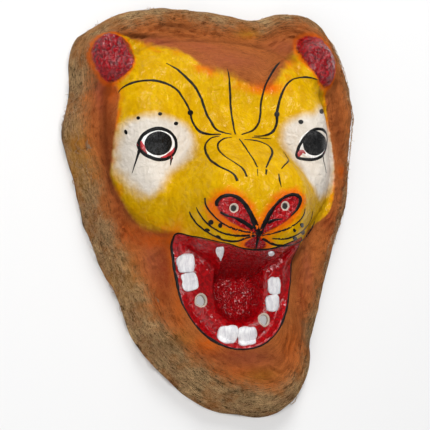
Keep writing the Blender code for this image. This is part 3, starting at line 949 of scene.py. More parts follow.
def giveReadings(piece):
    # what the finish reads at each point: depth in each paint area, spots, creases, the way round the rim
    mesh = piece.data
    points = np.empty(len(mesh.vertices) * 3, np.float32)
    mesh.vertices.foreach_get("co", points)
    points = points.reshape(-1, 3).astype(float) / drawing["mm"]
    x, y = points[:, 0] + drawing["shift"][0], points[:, 1] + drawing["shift"][1]
    turn = rim.angleOf(x, y)
    depth = rim.depth(x, y)
    height = formHeight(x, y)
    normals = np.empty(len(mesh.vertices) * 3, np.float32)
    mesh.vertex_normals.foreach_get("vector", normals)
    reach, ways = reading["creaseReach"], reading["creaseWays"]
    around = sum(
        formHeight(x + reach * math.cos(angle), y + reach * math.sin(angle)) for angle in turns(ways)) / ways
    readings = {
        "yellowDepth": depthInside(areaOutline("yellow"), x, y),
        "whiteDepth": np.maximum(
            depthInside(areaOutline("leftWhite"), x, y), depthInside(areaOutline("rightWhite"), x, y)),
        "noseDepth": np.maximum.reduce([
            depthInside(areaOutline(name), x, y) for name in ("leftNostril", "rightNostril", "philtrum")]),
        "earDepth": earDepth(x, y),
        "mouthDepth": mouth.depth(x, y),
        "troughDepth": trough.depth(x, y),
        "bareDepth": depth - np.interp(np.degrees(turn), *np.array(bareReach, float).T),
        "holeDistance": np.min([
            np.hypot(x - hx, y - hy) - radius for hx, hy, radius in form["holes"].values()], 0),
        "crease": around - height,
        "wearerSide": normals[2::3] < reading["behind"],
    }
    for name in paintSpots:
        readings[name + "Spot"] = spotShare(name, x, y)
    readings["yellowDepth"] = readings["yellowDepth"] / (1 + reading["soft"] * readings.pop("softSpot"))
    for name, values in readings.items():
        attribute = mesh.attributes.new(name, "FLOAT", "POINT")
        attribute.data.foreach_set("value", np.asarray(values, np.float32))
    # the way round the rim wound on a circle, and the depth from the rim
    wrapped = np.stack([reading["winding"] * np.cos(turn), reading["winding"] * np.sin(turn), depth], -1)
    attribute = mesh.attributes.new("alongRim", "FLOAT_VECTOR", "POINT")
    attribute.data.foreach_set("vector", wrapped.astype(np.float32).ravel())


# the red on the ears: middle x, y, half width, half height; its lean and taper downwards
ears = {
    "left": (-106, 137, 19, 23.6), "right": (104, 142, 19, 27.5),
    "lean": 0.14, "leanFrom": 0.2, "point": 0.2,
}


def earDepth(x, y):
    # distance inside an egg that is narrower below
    deepest = np.full(x.shape, -1e9)
    for middleX, middleY, halfWidth, halfHeight in (ears["left"], ears["right"]):
        along = (y - middleY) / halfHeight
        across = (x - middleX) / halfWidth + ears["lean"] * np.sign(middleX) * (along - ears["leanFrom"])
        reach = np.hypot(across * (1 - ears["point"] * along), along)
        deepest = np.maximum(deepest, (1 - reach) * halfWidth)
    return deepest


shellFinish = {
    "wash": (paint(154, 78, 36), paint(212, 126, 66)),  # terracotta wash, dark and light
    "yellow": (paint(192, 142, 0), paint(223, 176, 0)),
    "ochre": paint(176, 128, 0),
    "orange": paint(222, 96, 8),
    "pink": paint(176, 88, 66),
    "gold": paint(196, 132, 40),
    # the brown of the painted shade in creases, valleys, the dark spots and between strands
    "dark": paint(70, 36, 20),
    # the painted shade deep between the fibre strands
    "gap": paint(40, 26, 16),
    "rust": paint(140, 46, 26),
    "white": (paint(206, 196, 182), paint(227, 218, 207)),
    "red": (paint(128, 0, 5), paint(182, 2, 12)),
    "earRed": (paint(88, 0, 8), paint(162, 0, 16)),
    "rawEdge": paint(200, 184, 172),
    "wearerSide": (paint(120, 92, 66), paint(176, 150, 118)),
    "shine": 0.03,
    "coat": {"red": 0.7, "yellow": (0.02, 0.34), "roughness": 0.1},
    "roughness": {"raw": 0.86, "wash": 0.62, "yellow": (0.4, 0.56), "white": 0.42, "red": (0.24, 0.38)},
    # how many in a mm, detail, roughness
    "noises": {"blotch": (0.045, 3.0, 0.6), "speck": (0.35, 4.0, 0.7), "clump": (0.11, 4.0, 0.6)},
    "crinkle": {"red": 2.1, "yellow": 2.4},
    # mm inside an outline where a paint starts and where it is full
    "edges": {
        "wash": (-9, 7), "yellow": (-1.2, 1.2), "white": (-7, 5), "mouth": (-0.5, 0.5), "nose": (-0.8, 0.8),
        "ear": (-1.2, 0.8), "trough": (-6, 4),
    },
    # mm inside an outline where orange changes, and its shares there
    "halo": {"yellow": (0, 5, 0.8, 0), "nose": (-11, -1, 0, 0.95), "ear": (-4, -1, 0, 0.75)},
    "spots": {"rust": 0.8, "pink": 0.85, "orange": 0.75, "gold": 0.8},
    # shares of the relief's height
    "relief": {
        "strength": 0.9, "distance": 0.0011, "strands": 1.5, "brush": 0.12, "crumple": 0.7, "weave": 0.8,
        "ear": 1.3, "mouth": 0.45, "speck": (0.18, 0.03),
    },
}


def shellMaterial():
    # fibre and wash on the border, yellow and white on the face, glossy red in the mouth, nostrils and ears:
    # each paint is mixed over the last by how far a point lies inside its outline, plus some noise; painted
    # shade darkens creases, valleys and the hollows between strands
    material, board, shader = newMaterial("painted_fibre_shell")
    look, read, mix, blend = shellFinish, board.reading, board.mix, board.blend
    edges, halo, rough, rise = look["edges"], look["halo"], look["roughness"], look["relief"]
    place = board.objectMm()
    strands = board.group("fibreStrands", Vector=read("alongRim", "Vector"))
    brush = board.group("brushMarks", Vector=place)
    gloss = board.group("wrinkledGloss", Vector=place, Size=look["crinkle"]["red"])
    paper = board.group("wrinkledGloss", Vector=place, Size=look["crinkle"]["yellow"])
    blotch, speck, clump = (board.noise(place, *numbers) for numbers in look["noises"].values())
    cloud = clump.step(0.3, 0.7)
    fray = brush["Tone"] * 0.5 + cloud * 1.2 - 0.85
    grain = speck - 0.5

    tone = strands["Tone"] * 0.75 + cloud * 0.25
    # painted shade: darker where the fibre strands lie lowest, in the hollows between them
    gap = strands["Height"].step(0.58, 0.8, 0.7, 0.0)
    raw = mix(tone, rawFibre["dark"], rawFibre["light"])
    raw = mix(blotch.step(0.42, 0.66, 0.0, 0.55), raw, rawFibre["rust"])
    raw = mix(gap, raw, look["gap"])
    raw = mix(read("goldSpot") * 0.6, raw, look["gold"])
    wash = mix(tone * 0.75 + blotch * 0.25, *look["wash"])
    # the same painted shade between the strands, on the wash
    wash = mix(gap * 0.6, wash, look["dark"])
    for name, amount in look["spots"].items():
        share = read(name + "Spot") * (grain * 1.6 + amount)
        wash = mix(board.math("MINIMUM", share.over(0.0), 1.0), wash, look[name])
    washShare = read("bareDepth") + (strands["Tone"] - 0.5) * 12 + (blotch - 0.5) * 14
    washShare = washShare.step(*edges["wash"])
    colour = mix(washShare, raw, wash)
    # painted shade in the dark spots along creases and valleys
    colour = mix(read("darkSpot") * 0.8, colour, look["dark"])

    stain = brush["Tone"] * 0.6 + cloud * 0.4
    yellow = mix(stain, *look["yellow"])
    yellow = mix(blotch.step(0.45, 0.75, 0.0, 0.35), yellow, look["ochre"])
    edgeOrange = (read("yellowDepth") + fray * 1.2).step(*halo["yellow"]) * blotch.step(0.4, 0.7)
    noseOrange = (read("noseDepth") + fray * 3).step(*halo["nose"])
    for share in (edgeOrange, read("orangeSpot") * 0.85, noseOrange):
        yellow = mix(share, yellow, look["orange"])
    yellowShare = (read("yellowDepth") + fray * 0.5).step(*edges["yellow"])
    yellowShare = yellowShare * read("mouthDepth").step(-1.0, 0.6, 1.0, 0.0)
    colour = mix(yellowShare, colour, yellow)
    whiteShare = (read("whiteDepth") + fray * 1.8).step(*edges["white"]) * yellowShare
    colour = mix(whiteShare, colour, mix(stain, *look["white"]))

    mouthShare = read("mouthDepth").step(*edges["mouth"])
    noseShare = (read("noseDepth") + grain * 1.6).step(*edges["nose"])
    earEdge = read("earDepth") + grain * 3
    earShare = earEdge.step(*edges["ear"])
    thickness = gloss["Tone"].step(0.35, 0.65)
    colour = mix(mouthShare.over(noseShare), colour, mix(thickness, *look["red"]))
    colour = mix(earEdge.step(*halo["ear"]), colour, look["orange"])
    colour = mix(earShare, colour, mix(thickness, *look["earRed"]))
    redShare = mouthShare.over(noseShare).over(earShare)

    # painted shade: the border and face are darkened towards the dark brown where the form lies below its
    # surroundings, in creases and valleys
    creaseShade = read("crease").step(0.25, 1.6, 0.0, 0.3) * (1.0 - redShare)
    colour = mix(creaseShade, colour, look["dark"])
    cut = (read("holeDistance") + grain * 0.8).step(0.9, 1.5, 1.0, 0.0)
    colour = mix(cut, colour, look["rawEdge"])
    back = mix(strands["Tone"], *look["wearerSide"])
    back = mix(blotch.step(0.5, 0.7, 0.0, 0.5), back, rawFibre["rust"])
    behind = read("wearerSide").step(0.3, 0.7)
    board.put(shader["Base Color"], mix(behind, colour, back))

    roughness = blend(washShare, rough["raw"], rough["wash"])
    roughness = blend(yellowShare, roughness, brush["Tone"].step(0, 1, *rough["yellow"]))
    roughness = blend(whiteShare, roughness, rough["white"])
    roughness = blend(redShare, roughness, speck.step(0.3, 0.7, *rough["red"]))
    board.put(shader["Roughness"], blend(behind.over(cut), roughness, rough["raw"]))
    shader["Specular IOR Level"].default_value = look["shine"]
    shader["Coat Roughness"].default_value = look["coat"]["roughness"]
    varnish = redShare * look["coat"]["red"] + yellowShare * clump.step(0.46, 0.6, *look["coat"]["yellow"])
    board.put(shader["Coat Weight"], (1.0 - behind) * varnish)

    bare = (1.0 - yellowShare.over(redShare)) * (strands["Height"] * rise["strands"])
    painted = yellowShare * (brush["Height"] * rise["brush"] + paper["Height"] * rise["crumple"])
    weave = board.cells(place, 0.36).step(0.0, 0.2) * read("troughDepth").step(*edges["trough"])
    crinkle = gloss["Height"] * blend(mouthShare, rise["ear"], rise["mouth"])
    height = bare + painted + redShare * (crinkle + weave * rise["weave"])
    height = height + speck * blend(redShare, *rise["speck"])
    board.relief(shader, height, rise["strength"], rise["distance"], ("Normal", "Coat Normal"))
    return material


def makeShell():
    # the two sides and the rim's underside, with the four holes cut through
    piece = addMesh("painted_shell", shellMesh(), shellMaterial())
    drill = addMesh("drill", drillMesh(), piece.data.materials[0])
    cut = piece.modifiers.new("holes", "BOOLEAN")
    cut.operation = "DIFFERENCE"
    cut.solver = "EXACT"
    cut.object = drill
    finished = bpy.data.meshes.new_from_object(piece.evaluated_get(bpy.context.evaluated_depsgraph_get()))
    piece.modifiers.clear()
    piece.data = finished
    bpy.data.objects.remove(drill)
    finished.shade_smooth()
    finished.set_sharp_from_angle(angle=math.radians(shell["sharpEdge"]))
    giveReadings(piece)
    keep(piece, "painted_fibre", "mask_shell")
    print("shell:", len(finished.polygons), "faces")


# Brush strokes, patches and dots, laid on the form as thin closed coats

# mm above and below the surface, photo pixels between sections, share that the brush spreads
coat = {"height": 0.34, "sunk": 0.7, "step": 1.0, "spread": 1.2, "eyeWhite": 0.22, "iris": 0.6}
slopeStep = 0.02  # the share of a section's run over which its slope is taken


def strokeRings(flat, width, around=False):
    # a lens-shaped section carried along the path: wide edges under the surface, the middle above it
    run = np.roll(flat, -1, 0) - np.roll(flat, 1, 0) if around else np.gradient(flat, axis=0)
    normal = formNormal(flat[:, 0], flat[:, 1])
    slope = formHeight(*(flat + run * slopeStep).T) - formHeight(*(flat - run * slopeStep).T)
    tangent = np.concatenate([run, slope[:, None] / (2 * slopeStep)], 1)
    side = np.cross(normal, tangent)
    side = side / np.linalg.norm(side, axis=1, keepdims=True)
    across = np.array([-1, -0.72, 0, 0.72, 1, 0.5, -0.5])
    high, low = coat["height"], -coat["sunk"]
    lift = np.array([-0.1, high * 0.85, high, high * 0.85, -0.1, low, low])
    places = flat[:, None, :] + side[:, None, :2] * (across[None, :] * width[:, None] / 2)[..., None]
    return onForm(places, np.broadcast_to(lift, places.shape[:2]))[:, ::-1]


def strokeOnPhoto(points, seed):
    # a stroke through photo pixels with a width in mm at each; its edges shake a little
    points = np.array(points, float)
    travel = np.linalg.norm(np.diff(points[:, :2], axis=0), axis=1).sum()
    dense = smoothCurve(points, max(3, int(travel / coat["step"] / (len(points) - 1))), False)
    shake = 1 + 0.12 * lumps(np.arange(len(dense)) / 2.6, np.zeros(len(dense)), seed)
    width = np.maximum(dense[:, 2], 0.3) * shake * coat["spread"]
    return loft(strokeRings(onPhoto(dense[:, :2]), width))


def patchOnPhoto(outline, lift=None, perSpan=8):
    # rings shrunk from a closed outline of photo pixels to its middle, over the surface and back under it
    lift = lift or coat["height"]
    edge = smoothCurve(outline, perSpan, True)
    middle = edge.mean(0)
    shares = np.array([0.03, 0.25, 0.5, 0.72, 0.88, 0.96, 1.0, 0.96, 0.6, 0.03])
    lifts = np.array([lift, lift, lift, lift, lift, lift * 0.85, -0.1] + [-coat["sunk"]] * 3)
    pixels = middle + (edge - middle)[None] * shares[:, None, None]
    flat = onPhoto(pixels)
    return loft(onForm(flat, np.broadcast_to(lifts[:, None], flat.shape[:2])))


def ellipse(x, y, reachX, reachY, tilt=0):
    # photo pixels round an ellipse
    angle = -turns(10)
    return turnedPlaces(x, y, reachX * np.cos(angle), reachY * np.sin(angle), tilt)


# dark and light, roughness, coat, brush size, relief, shine
paints = {
    "ink_black": ((paint(8, 7, 7), paint(22, 20, 20)), 0.3, 0.0, 0.5, 0.5, 0.15),
    "corner_red": ((paint(150, 8, 18), paint(196, 24, 36)), 0.35, 0.2),
    "eye_white": ((paint(222, 218, 214), paint(248, 247, 245)), 0.4, 0.1),
    "iris_black": ((paint(1, 1, 1), paint(30, 30, 31)), 0.14, 0.0, 0.25, 1.0, 0.22),
    "tooth_white_paint": ((paint(214, 212, 216), paint(244, 243, 243)), 0.42, 0.1, 0.6, 0.7),
}


def paintMaterial(name, colours, roughness, coatWeight=0.0, size=0.5, relief=0.5, shine=0.5):
    # a coat of one paint, dark to light by its brush marks and a fine grain
    material, board, shader = newMaterial(name)
    place = board.objectMm()
    brush = board.group("brushMarks", Vector=place, Size=size)
    grain = board.noise(place, 0.9, 3.0, 0.6)
    tone = (brush["Tone"] * 0.7 + grain * 0.3).step(0.25, 0.75)
    board.put(shader["Base Color"], board.mix(tone, *colours))
    board.put(shader["Roughness"], grain.step(0.3, 0.7, roughness, roughness + 0.18))
    shader["Coat Weight"].default_value = coatWeight
    shader["Specular IOR Level"].default_value = shine
    board.relief(shader, brush["Height"] + grain * 0.4, relief, 0.0004)
    return material


# photo x, y, width in mm
strokes = {
    "brow_lines": (
        ((118.5, 92.5, 0.6), (121, 89, 1.2), (127, 85, 1.5), (135, 82, 1.9), (144, 80.7, 2.3),
         (153, 80.6, 2.4), (162, 82.2, 2.4), (170, 85.3, 2.2), (177, 90, 2.1), (183, 98, 2.0),
         (187.5, 106, 2.2), (190, 113, 2.4), (191.5, 120, 2.2), (195, 127, 2.4), (200.5, 132.2, 2.4),
         (210, 134.4, 2.2), (221, 134.2, 1.4)),
        ((166, 63.5, 0.4), (171, 66, 1.2), (178, 70, 2.0), (184, 75.3, 2.1), (189, 80.5, 2.2),
         (194, 86, 2.2), (198, 92, 2.4), (201.3, 99, 2.2), (204.2, 108, 2.2), (207, 115.5, 2.2),
         (211, 122, 2.2),
         (215, 128.5, 2.0), (221, 131.8, 1.9), (231.5, 134.2, 1.2)),
        ((227, 69, 0.4), (228.6, 76, 1.2), (230, 88, 2.0), (230.6, 99, 1.9), (231.3, 111, 1.8),
         (233, 122, 1.8), (235.6, 134.5, 1.3)),
        ((280, 62, 0.6), (276, 66.5, 2.0), (270.8, 74.5, 1.8), (266, 84, 1.6), (263, 93, 1.7),
         (260.6, 104, 1.8), (260.2, 115, 1.9), (258, 124, 1.9), (252.5, 130.5, 1.9), (241.5, 134.6, 1.2)),
        ((317, 80.5, 0.5), (309, 78, 1.6), (300, 77.8, 1.7), (292.5, 79.6, 1.6), (286, 85.5, 1.8),
         (281.5, 95, 2.0), (278.6, 105, 2.2), (277, 114, 2.6), (277, 122, 2.2), (274, 130, 2.2),
         (268.5, 134.4, 2.3), (261, 136, 1.8), (254, 136, 1.0)),
        ((252, 137.2, 0.8), (261, 138, 1.4), (271, 138.9, 0.5)),
    ),
    "nose_lines": (
        ((219.5, 136, 0.8), (211, 138.2, 1.8), (206, 143.5, 2.0), (205, 149, 2.0), (207.3, 155.5, 1.9),
         (211.5, 161, 1.9), (220, 167, 1.9), (229, 171.3, 2.0), (234.5, 175.3, 2.3), (237.3, 181, 2.6)),
        ((231.8, 137.3, 0.6), (224, 138.6, 1.6), (218.5, 143, 1.8), (218.6, 149, 1.8), (223.5, 155.6, 1.5),
         (231, 160.7, 1.2), (238.5, 165.3, 1.4), (243.8, 170, 2.2), (247, 176.5, 2.2)),
        ((239, 139, 1.0), (243.5, 144.6, 1.8), (248, 151.5, 1.3), (253.5, 159.5, 1.6), (257.5, 167, 1.2)),
        ((257.6, 169, 1.0), (258, 176, 0.5)),
        ((244.5, 139.6, 1.0), (255, 140.4, 1.7), (264, 143, 1.9), (270.5, 147.4, 2.0), (272.4, 153, 1.9),
         (269.5, 160, 1.7), (266.3, 167.5, 1.4)),
        ((266.5, 169.5, 1.9), (266, 174.5, 1.5)),
        ((283, 152, 0.4), (286, 156, 1.0), (288.5, 160.7, 1.5), (284.5, 165.2, 1.3), (281.5, 168.6, 0.9)),
        ((278.6, 174, 0.8), (279.5, 180, 1.5), (281.3, 187, 0.6)),
    ),
    "whisker_lines": (
        ((204.8, 198, 1.6), (205.7, 204, 1.7), (208.7, 210, 1.7), (214.5, 216.5, 1.5), (222, 222.8, 1.4),
         (232, 228, 1.5), (243, 231.3, 1.5), (253, 233.5, 1.4)),
        ((196.7, 207, 0.6), (199, 212.5, 1.5), (204, 220, 1.7), (211.5, 226.8, 1.6), (221, 232, 1.6),
         (234, 235.4, 1.9), (246, 235.8, 1.8), (255, 236, 1.4)),
        ((189.5, 211.5, 1.2), (192, 217, 1.9), (197.5, 224.3, 1.9), (205, 230.3, 1.8), (214, 235.8, 1.6),
         (225, 240.3, 1.9), (236, 241.4, 1.9), (246, 238.2, 1.7), (255, 236.2, 1.4)),
        ((305.5, 208.5, 1.6), (304.3, 214, 1.8), (299.5, 220.8, 1.6), (291, 227, 1.6), (280, 231.6, 1.5),
         (262, 235.8, 1.0)),
        ((312.8, 211, 0.8), (311, 219.5, 1.8), (306, 227.6, 1.7), (297.5, 234.6, 1.6), (286.5, 238.7, 1.9),
         (272.5, 238.6, 1.2)),
        ((314.8, 221, 0.6), (311, 230, 1.5), (304.5, 238.2, 1.6), (296.5, 243.4, 1.9), (286, 245.6, 2.2),
         (273.5, 244.3, 2.2), (262, 239, 1.8)),
    ),
    "nostril_lines": (
        ((217.2, 206, 3.0), (216.8, 202.5, 3.6), (220, 198, 2.8), (226, 195.5, 2.8), (232.5, 195.5, 2.8),
         (239, 198.3, 3.0), (245, 204, 3.4), (250, 212.5, 4.0), (254, 222, 4.6), (257, 231, 4.4),
         (258, 237, 3.2)),
        ((220.5, 212, 2.2), (226.5, 215.2, 1.8), (233, 217, 1.6), (239, 219.5, 2.8), (246, 223.4, 3.2),
         (252.5, 229, 2.8)),
        ((259, 236.5, 3.2), (261.5, 229.5, 3.8), (266, 221, 4.4), (270, 213.5, 3.8), (275.8, 205.5, 2.8),
         (282, 199, 2.4), (288.6, 195.3, 2.6), (295, 194.6, 2.8), (300, 197.6, 3.2), (300.4, 202.5, 3.0),
         (297, 209.5, 2.0), (291.5, 215.5, 1.3)),
        ((268, 222.5, 3.4), (275, 219.8, 2.0), (283, 218.6, 1.0)),
        ((258.2, 235, 4.0), (257.8, 239, 3.0), (256.6, 244, 2.0), (255.8, 249, 1.0)),
    ),
    "tear_lines": (
        ((140.5, 148.5, 3.0), (138.8, 152, 2.6), (136.8, 158.5, 1.7), (134.4, 166, 1.2), (132.2, 173, 0.4)),
        ((172.2, 157, 3.0), (171.2, 160.5, 2.0), (170.5, 165.2, 0.5)),
        ((323, 156, 1.2), (324.2, 163, 0.9), (326, 173, 0.3)),
    ),
}
eyeRings = {
    "left": (
        (139, 142), (143, 135.3), (150.4, 130.6), (159, 129.2), (168, 132), (174.2, 138.6), (175.9, 145.8),
        (173.6, 153.2), (167.7, 158), (158.5, 159.4), (149.5, 156.6), (142, 151.8), (138.8, 146.8),
    ),
    "right": (
        (296.8, 157), (297.6, 149.7), (301.4, 142), (307, 134.6), (314.6, 130), (322, 130), (326.4, 134.6),
        (327, 142), (325, 151), (320.5, 156.8), (312, 159.6), (303, 159.2),
    ),
}
eyeRingWidth = {"left": 3.8, "right": 3.3}
irises = {"left": (158.2, 143.6, 14, 12.1), "right": (314.2, 143.6, 12.2, 12.4)}
eyeWhites = {"left": (157.6, 144.4, 17.6, 14.2), "right": (312.6, 144.6, 14.4, 14.0)}
redCorners = (
    ((141, 141, 1.0), (142, 144.4, 3.0), (143.4, 148, 4.4), (145.4, 151.4, 1.6), (147.5, 153.6, 0.6)),
    ((174, 148, 0.8), (172.6, 151.6, 3.0), (169.4, 154.4, 4.0), (165, 156.6, 2.6), (160.5, 157.4, 0.6)),
    ((138.6, 146, 1.2), (136.8, 143.6, 0.5)), ((171.8, 155, 2.0), (171.2, 161, 1.0)),
    ((298.2, 157, 1.6), (299.4, 153.4, 4.2), (302.6, 151.6, 3.2), (305, 154, 1.2)),
    ((325.4, 150, 1.6), (323.6, 153.6, 1.2)),
)
# photo x, y, reach across, reach along, tilt in degrees
dots = (
    (190, 113, 2.9, 2.7, 0), (277, 114.2, 2.7, 2.9, 0),
    (126, 132, 1.6, 2.6, -20), (138.5, 117.8, 1.8, 1.8, 0), (159.4, 114.5, 2.1, 1.8, 0),
    (175.2, 124.2, 2.3, 1.9, -15), (300, 122.5, 2.5, 2.3, 0), (321.2, 111.6, 2.1, 2.5, 0),
    (211, 222.3, 2.7, 2.6, 0), (220.5, 225.3, 2.3, 2.4, 0), (207.6, 229.8, 2.6, 1.5, 20),
    (218.5, 236.9, 2.8, 1.7, 20), (301.9, 225.3, 2.2, 2.4, 0), (294.3, 230.5, 1.9, 2.0, 0),
    (303, 232.7, 1.9, 2.2, 30), (294.7, 238.5, 2.1, 1.8, 0),
)
# degrees around the mouth's middle, width in mm
mouthLine = {
    "outside": 0.5, "step": 0.8,
    "widths": (
        (-180, 2.0), (-165, 1.2), (-150, 1.3), (-140, 2.0), (-125, 2.4), (-112, 2.2), (-100, 1.4),
        (-80, 1.5), (-62, 1.3), (-45, 1.2), (-30, 2.2), (-12, 2.0), (5, 0.9), (25, 1.4), (38, 1.0),
        (55, 1.5), (80, 1.9), (100, 1.6), (115, 1.0), (128, 0.8), (140, 1.6), (150, 2.6), (165, 2.4),
        (180, 2.0),
    ),
}


def makeInk():
    # strokes along the photograph's lines, each eye's white, iris and ring, and the line round the mouth
    names = ("ink_black", "corner_red", "eye_white", "iris_black")
    ink, red, bright, iris = (paintMaterial(name, *paints[name]) for name in names)
    for order, (name, rows) in enumerate(strokes.items()):
        parts = [strokeOnPhoto(row, 100 + 10 * order + k) for k, row in enumerate(rows)]
        addPaint(name, joined(parts), ink)
    for side in eyeRings:
        addPaint("eye_white_" + side, patchOnPhoto(ellipse(*eyeWhites[side]), coat["eyeWhite"]), bright)
        addPaint("iris_" + side, patchOnPhoto(ellipse(*irises[side]), coat["iris"]), iris)
        flat = onPhoto(smoothCurve(eyeRings[side], 8, True))
        width = eyeRingWidth[side] * (1 + 0.1 * lumps(np.arange(len(flat)) / 6, np.zeros(len(flat)), 71))
        addPaint("eye_ring_" + side, loft(strokeRings(flat, width, True), True), ink)
    addPaint("eye_corners", joined([strokeOnPhoto(row, 90 + k) for k, row in enumerate(redCorners)]), red)
    addPaint("ink_dots", joined([patchOnPhoto(ellipse(*dot), perSpan=3) for dot in dots]), ink)
    angle = np.radians(np.arange(0, 360, mouthLine["step"]))
    flat = mouth.point(angle, -mouthLine["outside"])
    table = np.array(mouthLine["widths"], float)
    widths = coat["spread"] * np.interp(np.degrees(angle), *table.T, period=360)
    widths = widths * (1 + 0.2 * lumps(np.arange(len(angle)) / 5, np.zeros(len(angle)), 72, 90))
    addPaint("mouth_line", loft(strokeRings(flat, widths, True), True), ink)
    print("ink: strokes, eyes, dots and the line round the mouth")


# Teeth

# x, y, width, length, turn in degrees, thickness
teeth = {
    "tooth_left_upper": (-54, -60, 14, 16, 4, 2.2), "tooth_left_lower": (-51.5, -76.5, 13, 15, 10, 2.2),
    "tooth_right_upper": (31.5, -81.5, 12, 16, 8, 2.2), "tooth_right_lower": (30, -97, 14, 15, 0, 2.2),
    "tooth_front_left": (-16.5, -125, 18.5, 16, -4, 2.2), "tooth_front_right": (2.5, -127, 18, 16, 6, 2.2),
}
# photo pixels round the two fangs under the upper lip
fangs = {
    "fang_left": (
        (216.4, 247.6), (219.6, 246.8), (223.2, 246.8), (224, 250.4), (223.2, 254.8), (221.9, 257.6),
        (220.8, 260.2), (219.6, 257), (217.6, 255), (216.4, 251.6),
    ),
    "fang_right": (
        (268.2, 252.6), (271, 251.4), (274.2, 251.6), (273.6, 253.8), (271.4, 254.8), (268.6, 254.6)),
}
toothPad = {"squareness": 4.4, "sides": 72, "uneven": 0.13, "pitted": 0.22, "fangHeight": 1.6}


def toothRings(x, y, width, length, turn, thickness, seed):
    # a rounded square that grows ring by ring on the gum, domed on top, with uneven edges and a pitted coat
    angle = turns(toothPad["sides"])
    c, s = np.cos(angle), np.sin(angle)
    power = toothPad["squareness"]
    edge = (np.abs(c) ** power + np.abs(s) ** power) ** (-1 / power)
    edge = edge * (1 + toothPad["uneven"] * lumps(angle / math.tau * 11, np.zeros_like(angle), seed, 11))
    shares = np.array([0.02, 0.2, 0.38, 0.55, 0.7, 0.82, 0.9, 0.96, 1.0, 1.0, 0.7, 0.02])
    dome = np.array([1, 1, 1, 0.99, 0.98, 0.95, 0.9, 0.74, 0.36, -0.3, -0.4, -0.4])
    reach = shares[:, None] * edge[None] / 2
    flat = turnedPlaces(x, y, reach * c * width, reach * s * length, turn)
    lift = np.broadcast_to(dome[:, None] * thickness, flat.shape[:2]).copy()
    pits = lumps(flat[..., 0] / 2.4, flat[..., 1] / 3.4, seed + 1) * toothPad["pitted"]
    lift = lift + pits * (dome > 0)[:, None]
    return onForm(flat, lift)


def makeTeeth():
    white = paintMaterial("tooth_white_paint", *paints["tooth_white_paint"])
    for seed, (name, place) in enumerate(teeth.items()):
        piece = addMesh(name + "_painted", loft(toothRings(*place, 200 + 3 * seed)), white)
        keep(piece, "tooth_white", name)
    for name, outline in fangs.items():
        piece = addMesh(name + "_painted", patchOnPhoto(outline, toothPad["fangHeight"], 5), white)
        keep(piece, "tooth_white", name)
    print("teeth:", len(teeth) + len(fangs))


# Raw edges of the drilled holes

holeEdge = {
    "nostril": {"inside": 0.35, "outside": 1.1}, "sight": {"inside": 0.6, "outside": 1.4}, "lift": 0.35,
    "sides": 48,
}


def edgeRings(x, y, radius, inside, outside):
    # a rounded collar: over the outer side, down the hole's wall, and under the wearer's side
    angle = turns(holeEdge["sides"])
    shake = 1 + 0.05 * lumps(angle / math.tau * 12, np.zeros_like(angle), 81, 12)
    away = radius + np.array([
        outside, outside * 0.6, 0.1, -inside * 0.8, -inside, -inside * 0.6, 0.3, 1.0, 1.0])
    share = np.array([0, 0, 0, 0.15, 0.8, 1, 1, 0.9, 0.2])  # 0 on the outer side, 1 on the wearer's side
    lift = np.array([-0.25, 0.8, 1.0, 0.2, 0, -0.6, -0.8, 0, 0]) * holeEdge["lift"]
    reach = away[None, :] * shake[:, None]
    px, py = x + reach * np.cos(angle)[:, None], y + reach * np.sin(angle)[:, None]
    top, bottom = outerHeight(px, py), innerHeight(px, py)
    pz = top + (bottom - top) * share[None] + lift[None]
    return np.stack([px, py, pz], -1)


def makeHoleEdges():
    raw = rawFibreMaterial("raw_hole_edge", pale=0.85)
    for kind in ("nostril", "sight"):
        size = holeEdge[kind]
        parts = [
            loft(edgeRings(*form["holes"][kind + "_" + side], size["inside"], size["outside"]), True)
            for side in ("left", "right")]
        addPaint(kind + "_hole_edges", joined(parts), raw)
    print("hole edges: 4")


# Loose fibres on the rim

fibres = {
    "count": 900, "sections": 14, "sides": 4,
    "length": (4, 18), "radius": (0.12, 0.3), "depth": (0.2, 11), "lift": 0.4, "seed": 5,
    "heading": 0.16, "bend": 2.4, "wave": 0.8,  # how far they leave the rim's way, the last two in mm
}


